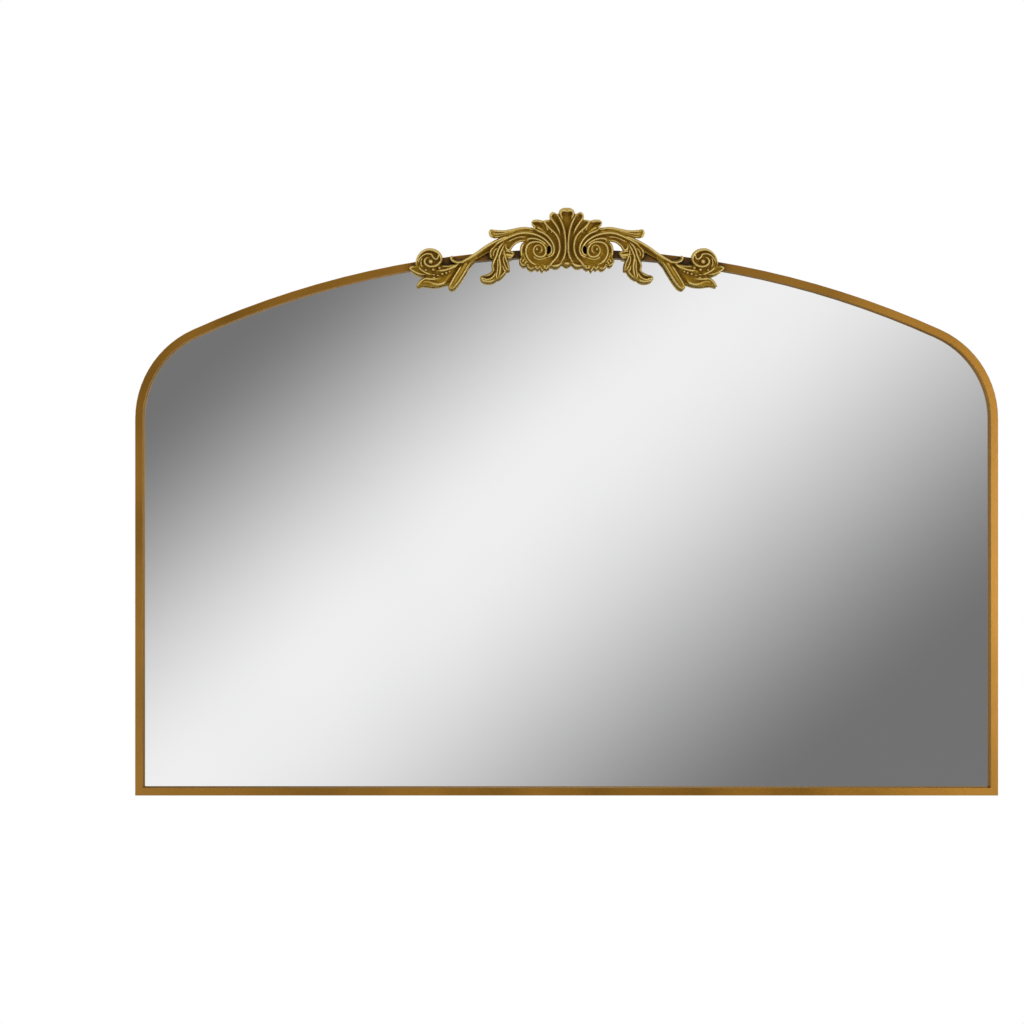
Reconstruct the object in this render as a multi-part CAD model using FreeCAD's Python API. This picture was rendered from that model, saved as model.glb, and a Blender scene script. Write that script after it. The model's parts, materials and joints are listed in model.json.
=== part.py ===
import FreeCAD, Part
import math
import os

# Arched wall mirror in millimetres: X to the right, Y to the wall, Z up, front facing -Y.
# The wall is the plane Y = 0. The origin lies midway between the two hooks that carry the mirror.

# Outline of the rim
FRAME_WIDTH = 1219.2
FRAME_HEIGHT = 772.0
ARCH_RISE = 239.6
SHOULDER_RADIUS = 138.0

# Section of the rim: a hollow lip in front, a web around the edge and a rib near its rear edge
FRAME_DEPTH = 28.0
FACE_WIDTH = 11.0
CHAMBER_DEPTH = 6.5
PROFILE_WALL = 1.5
EDGE_ROUND = 0.8
RIB_REACH = 4.0

# Layers behind the lip, from the front to the back
TAPE_THICKNESS = 0.8
TAPE_SETBACK = 0.6
GLASS_THICKNESS = 4.0
GLASS_ARRIS = 0.5
FILM_THICKNESS = 0.3
FILM_MARGIN = 1.5
STRIP_THICKNESS = 1.0
STRIP_WIDTH = 25.0
STRIP_COUNT = 4
STRIP_END_GAP = 60.0
BOARD_THICKNESS = 9.0
EDGE_GAP = 3.0

# Retainer tabs under the rim's rib
TAB_THICKNESS = 1.5
TAB_LENGTH = 30.0
TAB_WIDTH = 14.0
TAB_PLAY = 0.5
BOTTOM_TABS = 4
SIDE_TABS = 2
ARCH_TABS = 4

# Setting blocks on the bottom rail
BLOCK_LENGTH = 50.0

# Corner keys in the lip's chamber
KEY_LEG = 45.0
KEY_CLEARANCE = 0.1
KEY_SCREW_RADIUS = 1.5
KEY_SCREW_BITE = 1.5
KEY_SCREW_RECESS = 0.2

# Hanging rings and their straps
HOOK_SPACING = 812.8
HOOK_DROP = 200.0
WIRE_RADIUS = 1.5
RING_HALF_WIDTH = 10.5
RING_CORNER = 3.0
LOOP_PLAY = 0.1
STRAP_SHEET = 1.2
STRAP_WIDTH = 14.0
STRAP_LENGTH = 42.0

# Rubber bumpers between board and wall
WALL_GAP = 3.0
BUMPER_BASE_RADIUS = 9.0
BUMPER_TIP_RADIUS = 7.0
BUMPER_FLOOR = 3.0
BUMPER_INSET = 70.0

# Screws
SCREW_RADIUS = 1.8
HEAD_RADIUS = 3.6
HEAD_HEIGHT = 2.2
SCREW_FIT = 0.1
SCREW_BITE = 7.0
SMALL_SCREW_RADIUS = 1.5
SMALL_HEAD_RADIUS = 2.7
SMALL_HEAD_HEIGHT = 1.8
CREST_SCREW_BITE = 4.5
WEB_SCREW_REACH = 1.0

# Brackets behind the crest
BRACKET_SHEET = 2.0
BRACKET_WIDTH = 18.0
BRACKET_RISE = 14.0
BRACKET_RUN = 20.0
BRACKET_HOLE_PITCH = 10.0
BRACKET_SPREAD = 89.0

# Crest: its datum lies this far below the crown of the arch
CREST_DROP = 3.2

# Depths along Y
Y_REAR = -WALL_GAP
Y_FRONT = Y_REAR - FRAME_DEPTH
Y_CHAMBER = Y_FRONT + CHAMBER_DEPTH
Y_GLASS = Y_CHAMBER + TAPE_THICKNESS
Y_FILM = Y_GLASS + GLASS_THICKNESS
Y_STRIP = Y_FILM + FILM_THICKNESS
Y_BOARD = Y_STRIP + STRIP_THICKNESS
Y_BACK = Y_BOARD + BOARD_THICKNESS
Y_RIB = Y_BACK + TAB_THICKNESS

# Heights and arc centres of the outline
CROWN_Z = HOOK_DROP
BOTTOM_Z = CROWN_Z - FRAME_HEIGHT
SPRING_Z = CROWN_Z - ARCH_RISE
HALF_WIDTH = FRAME_WIDTH / 2
SHOULDER_X = HALF_WIDTH - SHOULDER_RADIUS
ARCH_RADIUS = (SHOULDER_X ** 2 + ARCH_RISE ** 2 - SHOULDER_RADIUS ** 2) / (2 * (ARCH_RISE - SHOULDER_RADIUS))
ARCH_Z = CROWN_Z - ARCH_RADIUS
JOIN_ANGLE = math.degrees(math.atan2(SPRING_Z - ARCH_Z, SHOULDER_X))
CROWN_HALF_ANGLE = 90 - JOIN_ANGLE
EDGE_INSET = PROFILE_WALL + EDGE_GAP

# Ring and strap positions
LOOP_RADIUS = WIRE_RADIUS + LOOP_PLAY
LOOP_OUTER = LOOP_RADIUS + STRAP_SHEET
RING_REACH = RING_CORNER + RING_HALF_WIDTH - WIRE_RADIUS
RING_Y = Y_BACK + LOOP_OUTER
RING_Z = -RING_REACH

RIGHTWARD = FreeCAD.Vector(1, 0, 0)
BACKWARD = FreeCAD.Vector(0, 1, 0)
UPWARD = FreeCAD.Vector(0, 0, 1)
ORIGIN = FreeCAD.Vector(0, 0, 0)


def at(x, y, z):
    return FreeCAD.Vector(x, y, z)


def save(shape, node):
    shape.exportStep("parts/" + node + ".step")


def group(solids):
    return Part.makeCompound(solids)


def mirrored(shape):
    return shape.mirror(ORIGIN, RIGHTWARD)


def block(x0, x1, y0, y1, z0, z1):
    return Part.makeBox(x1 - x0, y1 - y0, z1 - z0, at(x0, y0, z0))


def polygon(points):
    return Part.Face(Part.makePolygon(points + points[:1]))


def turned(shape, angle):
    """Turn a shape about the centre of the crown's arc, clockwise as seen from the front."""
    copy = shape.copy()
    copy.rotate(at(0, 0, ARCH_Z), BACKWARD, angle)
    return copy


def arch_outline(inset, y):
    """Closed outline of the mirror, moved inwards by inset, in the plane at depth y."""
    half = HALF_WIDTH - inset
    bottom = BOTTOM_Z + inset

    def on_arc(x, z, radius, angle):
        return at(x + radius * math.cos(math.radians(angle)), y, z + radius * math.sin(math.radians(angle)))

    def shoulder(side, angle):
        return on_arc(side * SHOULDER_X, SPRING_Z, SHOULDER_RADIUS - inset, angle)

    low_right = at(half, y, bottom)
    low_left = at(-half, y, bottom)
    spring_right = shoulder(1, 0)
    spring_left = shoulder(-1, 180)
    join_right = shoulder(1, JOIN_ANGLE)
    join_left = shoulder(-1, 180 - JOIN_ANGLE)
    crown = on_arc(0, ARCH_Z, ARCH_RADIUS - inset, 90)
    edges = [
        Part.makeLine(low_left, low_right),
        Part.makeLine(low_right, spring_right),
        Part.Arc(spring_right, shoulder(1, JOIN_ANGLE / 2), join_right).toShape(),
        Part.Arc(join_right, crown, join_left).toShape(),
        Part.Arc(join_left, shoulder(-1, 180 - JOIN_ANGLE / 2), spring_left).toShape(),
        Part.makeLine(spring_left, low_left),
    ]
    return Part.Wire(edges)


def arch_plate(inset, y, thickness):
    return Part.Face(arch_outline(inset, y)).extrude(BACKWARD * thickness)


def rim_section(place):
    """Section of the rim; place turns (distance in from the edge, depth) into a point."""
    lip = FACE_WIDTH
    r = EDGE_ROUND
    soft = r * (1 - math.sqrt(0.5))
    rib_rear = Y_RIB + PROFILE_WALL
    corners = [
        (lip, Y_FRONT + r),
        (lip, Y_CHAMBER),
        (PROFILE_WALL, Y_CHAMBER),
        (PROFILE_WALL, Y_RIB),
        (RIB_REACH, Y_RIB),
        (RIB_REACH, rib_rear),
        (PROFILE_WALL, rib_rear),
        (PROFILE_WALL, Y_REAR),
        (0, Y_REAR),
        (0, Y_FRONT + r),
    ]
    edges = [Part.makeLine(place(*a), place(*b)) for a, b in zip(corners, corners[1:])]
    edges.append(Part.Arc(place(0, Y_FRONT + r), place(soft, Y_FRONT + soft), place(r, Y_FRONT)).toShape())
    edges.append(Part.makeLine(place(r, Y_FRONT), place(lip - r, Y_FRONT)))
    inner_soft = place(lip - soft, Y_FRONT + soft)
    edges.append(Part.Arc(place(lip - r, Y_FRONT), inner_soft, place(lip, Y_FRONT + r)).toShape())
    outer = Part.Wire(edges)
    near = Y_FRONT + PROFILE_WALL
    far = Y_CHAMBER - PROFILE_WALL
    chamber = [
        place(PROFILE_WALL, near),
        place(lip - PROFILE_WALL, near),
        place(lip - PROFILE_WALL, far),
        place(PROFILE_WALL, far),
    ]
    return Part.Face(outer).cut(polygon(chamber)).Faces[0]


def mitre_zone():
    """Everything under the two mitres, so that the bottom rail is what lies inside it."""
    over = FACE_WIDTH * 2
    low = BOTTOM_Z - over
    high = BOTTOM_Z + over
    face = polygon([
        at(-HALF_WIDTH - over, Y_FRONT - over, low),
        at(HALF_WIDTH + over, Y_FRONT - over, low),
        at(HALF_WIDTH - over, Y_FRONT - over, high),
        at(-HALF_WIDTH + over, Y_FRONT - over, high),
    ])
    return face.extrude(BACKWARD * (FRAME_DEPTH + 2 * over))


def make_arch_rail():
    section = rim_section(lambda u, y: at(HALF_WIDTH - u, y, SPRING_Z))
    side = section.extrude(UPWARD * (BOTTOM_Z - SPRING_Z))
    centre = at(SHOULDER_X, 0, SPRING_Z)
    shoulder = section.revolve(centre, -BACKWARD, JOIN_ANGLE)
    joint = section.copy()
    joint.rotate(centre, -BACKWARD, JOIN_ANGLE)
    crown = joint.revolve(at(0, 0, ARCH_Z), -BACKWARD, 2 * CROWN_HALF_ANGLE)
    rail = crown.fuse([shoulder, side, mirrored(shoulder), mirrored(side)])
    return rail.cut(mitre_zone()).removeSplitter()


def make_bottom_rail():
    section = rim_section(lambda u, y: at(-HALF_WIDTH, y, BOTTOM_Z + u))
    return section.extrude(RIGHTWARD * FRAME_WIDTH).common(mitre_zone())


def make_corner_key():
    """Key of the right corner: two legs in the chamber, round the mitre."""
    start = PROFILE_WALL + KEY_CLEARANCE
    wide = FACE_WIDTH - 2 * start
    deep = CHAMBER_DEPTH - 2 * start
    x = HALF_WIDTH - start
    z = BOTTOM_Z + start
    y = Y_FRONT + start
    face = polygon([
        at(x, y, z),
        at(x - KEY_LEG, y, z),
        at(x - KEY_LEG, y, z + wide),
        at(x - wide, y, z + wide),
        at(x - wide, y, z + KEY_LEG),
        at(x, y, z + KEY_LEG),
    ])
    return face.extrude(BACKWARD * deep)


def key_screw_points():
    """Screw positions of the right corner, two on each leg."""
    middle = FACE_WIDTH / 2
    points = []
    for reach in (KEY_LEG * 0.4, KEY_LEG * 0.8):
        points.append((HALF_WIDTH - reach, BOTTOM_Z + middle))
        points.append((HALF_WIDTH - middle, BOTTOM_Z + reach))
    return points


def key_screw_pins(play):
    """Bodies of the right corner's grub screws, widened and lengthened by play for their holes."""
    tip = Y_CHAMBER - PROFILE_WALL - KEY_CLEARANCE - KEY_SCREW_BITE - play
    top = Y_CHAMBER - KEY_SCREW_RECESS
    if play > 0:
        top = Y_CHAMBER + play
    pins = []
    for x, z in key_screw_points():
        pins.append(Part.makeCylinder(KEY_SCREW_RADIUS + play, top - tip, at(x, tip, z), BACKWARD))
    return pins


def hex_prism(x, y, z, radius, length):
    corners = []
    for i in range(6):
        angle = math.radians(60 * i)
        corners.append(at(x + radius * math.cos(angle), y, z + radius * math.sin(angle)))
    return polygon(corners).extrude(BACKWARD * length)


def make_key_screws():
    socket_depth = PROFILE_WALL * 0.7
    solids = []
    for pin, (x, z) in zip(key_screw_pins(0), key_screw_points()):
        top = Y_CHAMBER - KEY_SCREW_RECESS
        socket = hex_prism(x, top - socket_depth, z, KEY_SCREW_RADIUS * 0.55, socket_depth + 1)
        screw = pin.cut(socket)
        solids += [screw, mirrored(screw)]
    return group(solids)


def make_screw(radius, length, head_radius, head_height):
    """Pan-head screw along Y with its seat at the origin and its head on the wall's side."""
    tip = radius * 1.2
    soft = head_height * 0.55
    half = [
        at(0, -length, 0),
        at(radius * 0.25, -length, 0),
        at(radius, tip - length, 0),
        at(radius, 0, 0),
        at(head_radius, 0, 0),
        at(head_radius, head_height - soft, 0),
    ]
    edges = [Part.makeLine(a, b) for a, b in zip(half, half[1:])]
    lead = at(head_radius * 0.78, head_height - soft * 0.28, 0)
    edges.append(Part.Arc(half[-1], lead, at(head_radius * 0.4, head_height, 0)).toShape())
    edges.append(Part.makeLine(at(head_radius * 0.4, head_height, 0), at(0, head_height, 0)))
    edges.append(Part.makeLine(at(0, head_height, 0), half[0]))
    body = Part.Face(Part.Wire(edges)).revolve(ORIGIN, BACKWARD, 360)
    arm = head_radius * 0.55
    slot = head_radius * 0.13
    floor = head_height * 0.4
    cross = block(-arm, arm, floor, head_height + 1, -slot, slot)
    cross = cross.fuse(block(-slot, slot, floor, head_height + 1, -arm, arm))
    return body.cut(cross)


def pilot(x, y, z, radius, depth):
    """Hole for a screw that is driven forwards from the seat at depth y."""
    return Part.makeCylinder(radius + SCREW_FIT, depth, at(x, y - depth, z), BACKWARD)


def moved(shape, x, y, z):
    copy = shape.copy()
    copy.translate(at(x, y, z))
    return copy


def tab_places():
    """Edge point and inward direction of every retainer tab, as (x, z, dx, dz)."""
    places = []
    for i in range(BOTTOM_TABS):
        x = FRAME_WIDTH * ((i + 0.5) / BOTTOM_TABS - 0.5)
        places.append((x, BOTTOM_Z, 0, 1))
    for i in range(SIDE_TABS):
        z = BOTTOM_Z + (SPRING_Z - BOTTOM_Z) * (i + 0.6) / SIDE_TABS
        places.append((HALF_WIDTH, z, -1, 0))
        places.append((-HALF_WIDTH, z, 1, 0))
    for i in range(ARCH_TABS):
        angle = math.radians(CROWN_HALF_ANGLE * 1.7 * ((i + 0.5) / ARCH_TABS - 0.5))
        dx = -math.sin(angle)
        dz = -math.cos(angle)
        places.append((-ARCH_RADIUS * dx, ARCH_Z - ARCH_RADIUS * dz, dx, dz))
    return places


TAB_START = PROFILE_WALL + TAB_PLAY
TAB_SCREW = TAB_START + TAB_LENGTH - TAB_WIDTH / 2


def make_tab():
    """Tab lying along X from the rim's edge at the origin, with its front face on Y = 0."""
    half = TAB_WIDTH / 2
    end = TAB_SCREW
    plate = block(TAB_START, end, 0, TAB_THICKNESS, -half, half)
    plate = plate.fuse(Part.makeCylinder(half, TAB_THICKNESS, at(end, 0, 0), BACKWARD))
    hole = Part.makeCylinder(SCREW_RADIUS + SCREW_FIT, TAB_THICKNESS + 2, at(end, -1, 0), BACKWARD)
    return plate.cut(hole).removeSplitter()


def make_tabs():
    tab = make_tab()
    solids = []
    for x, z, dx, dz in tab_places():
        copy = tab.copy()
        copy.rotate(ORIGIN, BACKWARD, math.degrees(math.atan2(-dz, dx)))
        copy.translate(at(x, Y_BACK, z))
        solids.append(copy)
    return group(solids)


def tab_screw_points():
    return [(x + dx * TAB_SCREW, z + dz * TAB_SCREW) for x, z, dx, dz in tab_places()]


def strap_screw_points():
    points = []
    for x in (-HOOK_SPACING / 2, HOOK_SPACING / 2):
        for drop in (STRAP_LENGTH * 0.48, STRAP_LENGTH * 0.82):
            points.append((x, RING_Z - drop))
    return points


def bumper_points():
    x = HALF_WIDTH - BUMPER_INSET
    return [(-x, SPRING_Z), (x, SPRING_Z), (-x, BOTTOM_Z + BUMPER_INSET), (x, BOTTOM_Z + BUMPER_INSET)]


def make_strap(x):
    """Strap folded round the ring's bar, screwed flat to the board."""
    flat = 2 * STRAP_SHEET
    left = x - STRAP_WIDTH / 2
    low = RING_Z - STRAP_LENGTH
    neck = RING_Z - 2.2 * LOOP_OUTER
    loop_top = at(left, RING_Y, RING_Z + LOOP_OUTER)
    outline = [
        Part.makeLine(at(left, Y_BACK, low), at(left, Y_BACK, RING_Z)),
        Part.Arc(at(left, Y_BACK, RING_Z), loop_top, at(left, RING_Y + LOOP_OUTER, RING_Z)).toShape(),
        Part.makeLine(at(left, RING_Y + LOOP_OUTER, RING_Z), at(left, Y_BACK + flat, neck)),
        Part.makeLine(at(left, Y_BACK + flat, neck), at(left, Y_BACK + flat, low)),
        Part.makeLine(at(left, Y_BACK + flat, low), at(left, Y_BACK, low)),
    ]
    strap = Part.Face(Part.Wire(outline)).extrude(RIGHTWARD * STRAP_WIDTH)
    ends = []
    for edge in strap.Edges:
        first, last = edge.Vertexes[0].Point, edge.Vertexes[-1].Point
        if abs(first.z - low) < 0.01 and abs(last.z - low) < 0.01 and abs(first.x - last.x) < 0.01:
            ends.append(edge)
    strap = strap.makeFillet(STRAP_WIDTH * 0.4, ends)
    strap = strap.cut(Part.makeCylinder(LOOP_RADIUS, STRAP_WIDTH + 2, at(left - 1, RING_Y, RING_Z), RIGHTWARD))
    for sx, sz in strap_screw_points():
        strap = strap.cut(pilot(sx, Y_BACK + flat + 1, sz, SCREW_RADIUS, flat + 2))
    return strap


def make_ring(x):
    """Wire ring standing up from its bar, as it hangs on a hook."""
    bar = RING_HALF_WIDTH - RING_CORNER
    level = RING_Z + RING_CORNER
    wire = Part.Face(Part.Wire(Part.makeCircle(WIRE_RADIUS, at(x + bar, RING_Y, RING_Z), RIGHTWARD)))
    straight = wire.extrude(RIGHTWARD * (-2 * bar))
    corner = wire.revolve(at(x + bar, RING_Y, level), -BACKWARD, 90)
    foot = Part.Face(Part.Wire(Part.makeCircle(WIRE_RADIUS, at(x + RING_HALF_WIDTH, RING_Y, level), UPWARD)))
    bow = foot.revolve(at(x, RING_Y, level), -BACKWARD, 180)
    other = corner.mirror(at(x, 0, 0), RIGHTWARD)
    return straight.fuse([corner, other, bow]).removeSplitter()


def make_bumpers():
    tall = -Y_BACK
    bore = SCREW_RADIUS + SCREW_FIT
    well = HEAD_RADIUS + 2 * SCREW_FIT
    section = polygon([
        at(bore, Y_BACK, 0),
        at(BUMPER_BASE_RADIUS, Y_BACK, 0),
        at(BUMPER_TIP_RADIUS, Y_BACK + tall, 0),
        at(well, Y_BACK + tall, 0),
        at(well, Y_BACK + BUMPER_FLOOR, 0),
        at(bore, Y_BACK + BUMPER_FLOOR, 0),
    ])
    bumper = section.revolve(ORIGIN, BACKWARD, 360)
    return group([moved(bumper, x, 0, z) for x, z in bumper_points()])


def screws_at(points, seat, bite_from):
    """Board screws with their seats at depth seat, reaching SCREW_BITE beyond the depth bite_from."""
    screw = make_screw(SCREW_RADIUS, seat - bite_from + SCREW_BITE, HEAD_RADIUS, HEAD_HEIGHT)
    return group([moved(screw, x, seat, z) for x, z in points])


def make_board():
    board = arch_plate(EDGE_INSET, Y_BOARD, BOARD_THICKNESS)
    holes = []
    for x, z in tab_screw_points() + strap_screw_points() + bumper_points():
        holes.append(pilot(x, Y_BACK, z, SCREW_RADIUS, SCREW_BITE + SCREW_FIT))
    return board.cut(holes)


def make_glass():
    plate = arch_plate(EDGE_INSET, Y_GLASS, GLASS_THICKNESS)
    rims = []
    for edge in plate.Edges:
        depths = [vertex.Point.y for vertex in edge.Vertexes]
        if max(depths) - min(depths) < GLASS_THICKNESS / 2:
            rims.append(edge)
    return plate.makeChamfer(GLASS_ARRIS, rims)


def make_tape():
    outer = arch_plate(EDGE_INSET, Y_CHAMBER, TAPE_THICKNESS)
    return outer.cut(arch_plate(FACE_WIDTH - TAPE_SETBACK, Y_CHAMBER, TAPE_THICKNESS))


def make_strips():
    low = BOTTOM_Z + STRIP_END_GAP
    high = SPRING_Z
    pitch = FRAME_WIDTH / STRIP_COUNT
    solids = []
    for i in range(STRIP_COUNT):
        x = (i - (STRIP_COUNT - 1) / 2) * pitch
        solids.append(block(x - STRIP_WIDTH / 2, x + STRIP_WIDTH / 2, Y_STRIP, Y_BOARD, low, high))
    return group(solids)


def make_blocks():
    low = BOTTOM_Z + PROFILE_WALL
    right = block(-BLOCK_LENGTH / 2, BLOCK_LENGTH / 2, Y_GLASS, Y_BACK, low, low + EDGE_GAP)
    return group([moved(right, -FRAME_WIDTH / 4, 0, 0), moved(right, FRAME_WIDTH / 4, 0, 0)])


BRACKET_ANGLE = math.degrees(math.asin(BRACKET_SPREAD / ARCH_RADIUS))
BRACKET_ANGLES = (-BRACKET_ANGLE, 0, BRACKET_ANGLE)
WEB_SCREW_Y = Y_FRONT + BRACKET_RUN * 0.65
CREST_SCREW_Z = CROWN_Z + BRACKET_RISE * 0.55
HOLE_XS = (-BRACKET_HOLE_PITCH / 2, BRACKET_HOLE_PITCH / 2)


def make_bracket():
    half = BRACKET_WIDTH / 2
    foot = block(-half, half, Y_FRONT, Y_FRONT + BRACKET_RUN, CROWN_Z, CROWN_Z + BRACKET_SHEET)
    leg = block(-half, half, Y_FRONT, Y_FRONT + BRACKET_SHEET, CROWN_Z, CROWN_Z + BRACKET_RISE)
    angle = foot.fuse(leg).removeSplitter()
    hole = SMALL_SCREW_RADIUS + SCREW_FIT
    for x in HOLE_XS:
        angle = angle.cut(Part.makeCylinder(hole, 3 * BRACKET_SHEET, at(x, WEB_SCREW_Y, CROWN_Z - 1), UPWARD))
        angle = angle.cut(Part.makeCylinder(hole, 3 * BRACKET_SHEET, at(x, Y_FRONT - 1, CREST_SCREW_Z), BACKWARD))
    return angle


def make_brackets():
    bracket = make_bracket()
    return group([turned(bracket, angle) for angle in BRACKET_ANGLES])


def web_screws():
    reach = BRACKET_SHEET + PROFILE_WALL + WEB_SCREW_REACH
    screw = make_screw(SMALL_SCREW_RADIUS, reach, SMALL_HEAD_RADIUS, SMALL_HEAD_HEIGHT)
    screw.rotate(ORIGIN, RIGHTWARD, 90)
    upright = [moved(screw, x, WEB_SCREW_Y, CROWN_Z + BRACKET_SHEET) for x in HOLE_XS]
    return group([turned(one, angle) for angle in BRACKET_ANGLES for one in upright])


def web_holes():
    hole = SMALL_SCREW_RADIUS + SCREW_FIT
    drop = CROWN_Z - 2 * PROFILE_WALL
    upright = [Part.makeCylinder(hole, 4 * PROFILE_WALL, at(x, WEB_SCREW_Y, drop), UPWARD) for x in HOLE_XS]
    return [turned(one, angle) for angle in BRACKET_ANGLES for one in upright]


def crest_screws():
    screw = make_screw(SMALL_SCREW_RADIUS, BRACKET_SHEET + CREST_SCREW_BITE, SMALL_HEAD_RADIUS, SMALL_HEAD_HEIGHT)
    seated = [moved(screw, x, Y_FRONT + BRACKET_SHEET, CREST_SCREW_Z) for x in HOLE_XS]
    return group([turned(one, angle) for angle in BRACKET_ANGLES for one in seated])


def crest_holes():
    depth = CREST_SCREW_BITE + SCREW_FIT
    straight = [pilot(x, Y_FRONT, CREST_SCREW_Z, SMALL_SCREW_RADIUS, depth) for x in HOLE_XS]
    return [turned(one, angle) for angle in BRACKET_ANGLES for one in straight]


# Crest. Each member is listed as (x, z, half width, height) along its middle line, for the right half,
# with x from the middle of the mirror and z from the crest's datum. Heights are from the rim's front face.

MIDDLE_FLUTE = [
    (0, -17, 2, 9), (0, 0, 2, 9.2), (0, 18, 3, 9.8), (0, 34, 6, 10.6), (0, 47, 9.5, 11.5), (0, 57, 7, 11.5),
]
SHELL = [
    # rim of the middle flute, closing over its top
    [(1.9, -15, 1.2, 10.5), (1.9, 2, 1.4, 11.5), (2.6, 18, 1.5, 12.2), (5.3, 34, 1.6, 13.2),
     (9.2, 48, 1.8, 14.6), (9.8, 54, 1.9, 15), (5.5, 57.4, 1.9, 15), (-0.6, 56.2, 1.5, 14.4)],
    # second and third flutes
    [(4, 0, 1.8, 9.5), (5, 12, 2.4, 9.8), (6.2, 20, 3.2, 10.2), (8.5, 30, 4.3, 10.9), (12.3, 40, 5.2, 12),
     (16.5, 48.5, 5, 12.6), (18.6, 52.4, 3.4, 11.8), (19.8, 54.6, 1, 9)],
    [(7.8, 5, 1.6, 9.4), (9, 12, 2.2, 9.7), (11.7, 20, 3.2, 10.1), (16, 27.5, 4.1, 10.7), (21, 35.5, 4.6, 11.5),
     (25.6, 41, 3.4, 11.2), (28, 43.6, 1, 9)],
    # foot below the flutes
    [(5, -18.6, 1, 7.6), (14, -21.4, 2.2, 8.9), (24, -19.6, 1, 7.8)],
]
BANDS = [
    # inner band from the leaf round to the foot
    [(41, 36, 1.6, 10), (35, 32.6, 4, 11), (29, 29, 4.8, 11.6), (23.5, 24, 4.6, 11.8), (17.6, 17.4, 4.3, 11.9),
     (14.2, 10.5, 3.9, 11.9), (13.1, 3.5, 3.4, 11.8), (13.8, -3.5, 3, 11.6), (17.4, -10.4, 2.9, 11.2),
     (21.5, -16.6, 2.7, 10.6), (26.5, -24, 1.5, 9)],
    # trumpet strand
    [(109, 23, 1.6, 6), (106, 23, 4.4, 8.4), (99, 22.8, 5.6, 9.6), (90, 23.2, 5, 9.8), (77, 25.2, 4.4, 10.2),
     (64, 28, 4, 10.8), (52, 27.4, 3.6, 10.8), (42, 24.4, 3.2, 10.6), (33, 20.2, 3, 10.4), (25, 13.6, 2.8, 10.3),
     (20, 6, 2.5, 10.2), (18.8, -1, 2.3, 10), (20.4, -7, 2.1, 9.6), (24.5, -10, 1.4, 8.6)],
    # arm with its falling stem
    [(27.5, 6, 1.2, 7.6), (33, 12.5, 2, 8.8), (41, 17, 2.6, 9.6), (50, 19.5, 2.9, 9.9), (60, 20.5, 3.1, 10),
     (72, 19.8, 3.5, 10.1), (84, 16.4, 4, 10.3), (96, 11.8, 4.4, 10.6), (107, 6.3, 4.3, 10.6), (118, -1, 4, 10.2),
     (130, -8.6, 3.8, 9.8), (139, -16, 4.2, 9.6), (146, -26, 4.5, 9.4), (152.5, -36.5, 4.5, 9.2),
     (159, -46, 3.9, 8.6), (165.5, -54.5, 1.3, 6.5)],
]
SHELL_LEAF = [
    [(23, 21, 2.2, 9.2), (30, 29.6, 3.8, 10.9), (37, 36.2, 4.6, 12.4), (44, 39, 3.4, 11.8), (49.5, 39, 1, 9.6)],
    [(36, 27, 2, 9), (43.5, 32, 2.7, 10.2), (48.5, 37, 1, 9.4)],
]
HANGING_LEAF = [
    # middle lobe, inner lobe, outer lobe with its curl, small outer lobe
    [(91, 11, 3.6, 9.4), (95, -2, 4.5, 10), (96.5, -15, 4.2, 9.7), (97, -29, 3.6, 9), (97.5, -41, 1.1, 6.8)],
    [(89.5, 6, 2.6, 8.4), (86.6, -6, 3.5, 8.9), (83.6, -17, 3.2, 8.5), (81.4, -27.5, 1, 6.6)],
    [(95.5, 3, 2.6, 8.6), (101.5, -9, 3.6, 9.1), (103, -20, 3.5, 8.8), (104.5, -31, 3.7, 8.6),
     (110, -39.6, 3.7, 8.5), (117.5, -41.2, 2.4, 8), (121.5, -37.8, 0.9, 6.8)],
    [(98, 6.5, 2.2, 8.2), (104.5, 1, 2.8, 8.5), (107, -6, 2.2, 8.1), (105.5, -12.5, 0.9, 6.6)],
    # bud below the opening, and the curled strand over it
    [(90, -5, 2.6, 8), (81.5, -6.4, 3, 8.2), (74, -5.2, 0.9, 6.6)],
    [(56, 15, 1.5, 8.4), (66, 14, 2, 8.9), (74.5, 10.6, 2.2, 9.2), (79.5, 5.2, 2.2, 9.1), (84.5, 2.6, 1.9, 8.7)],
]
VOLUTE_RIM = [
    (55.5, 14.5, 1.4, 8.2), (61.5, 8.4, 2.2, 9.4), (64.6, -0.5, 2.6, 9.9), (64.8, -9, 2.6, 9.5), (61.5, -17, 1.6, 8),
]
END_LEAVES = [
    # lower and upper end leaves, and the hooked leaf on the arm
    [(146, -19, 3.4, 8.7), (157, -30, 6.5, 9.3), (170, -39.6, 8, 9.8), (184, -44.4, 6.5, 9.6), (198, -45.6, 4.4, 9),
     (211.5, -51.4, 1, 6.6)],
    [(149, -20.4, 2, 8.4), (162, -24.6, 4, 9.5), (176, -30, 6, 10.2), (190, -32.4, 6.5, 10.2), (205, -29.6, 5, 9.6),
     (222.5, -25.4, 1, 6.8)],
    [(138, -13.5, 2, 8.2), (149, -17, 2.6, 8.6), (157, -16, 2.2, 8.8), (161.8, -12.4, 1.5, 8.4), (163, -8.6, 0.7, 7.4)],
]
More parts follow.
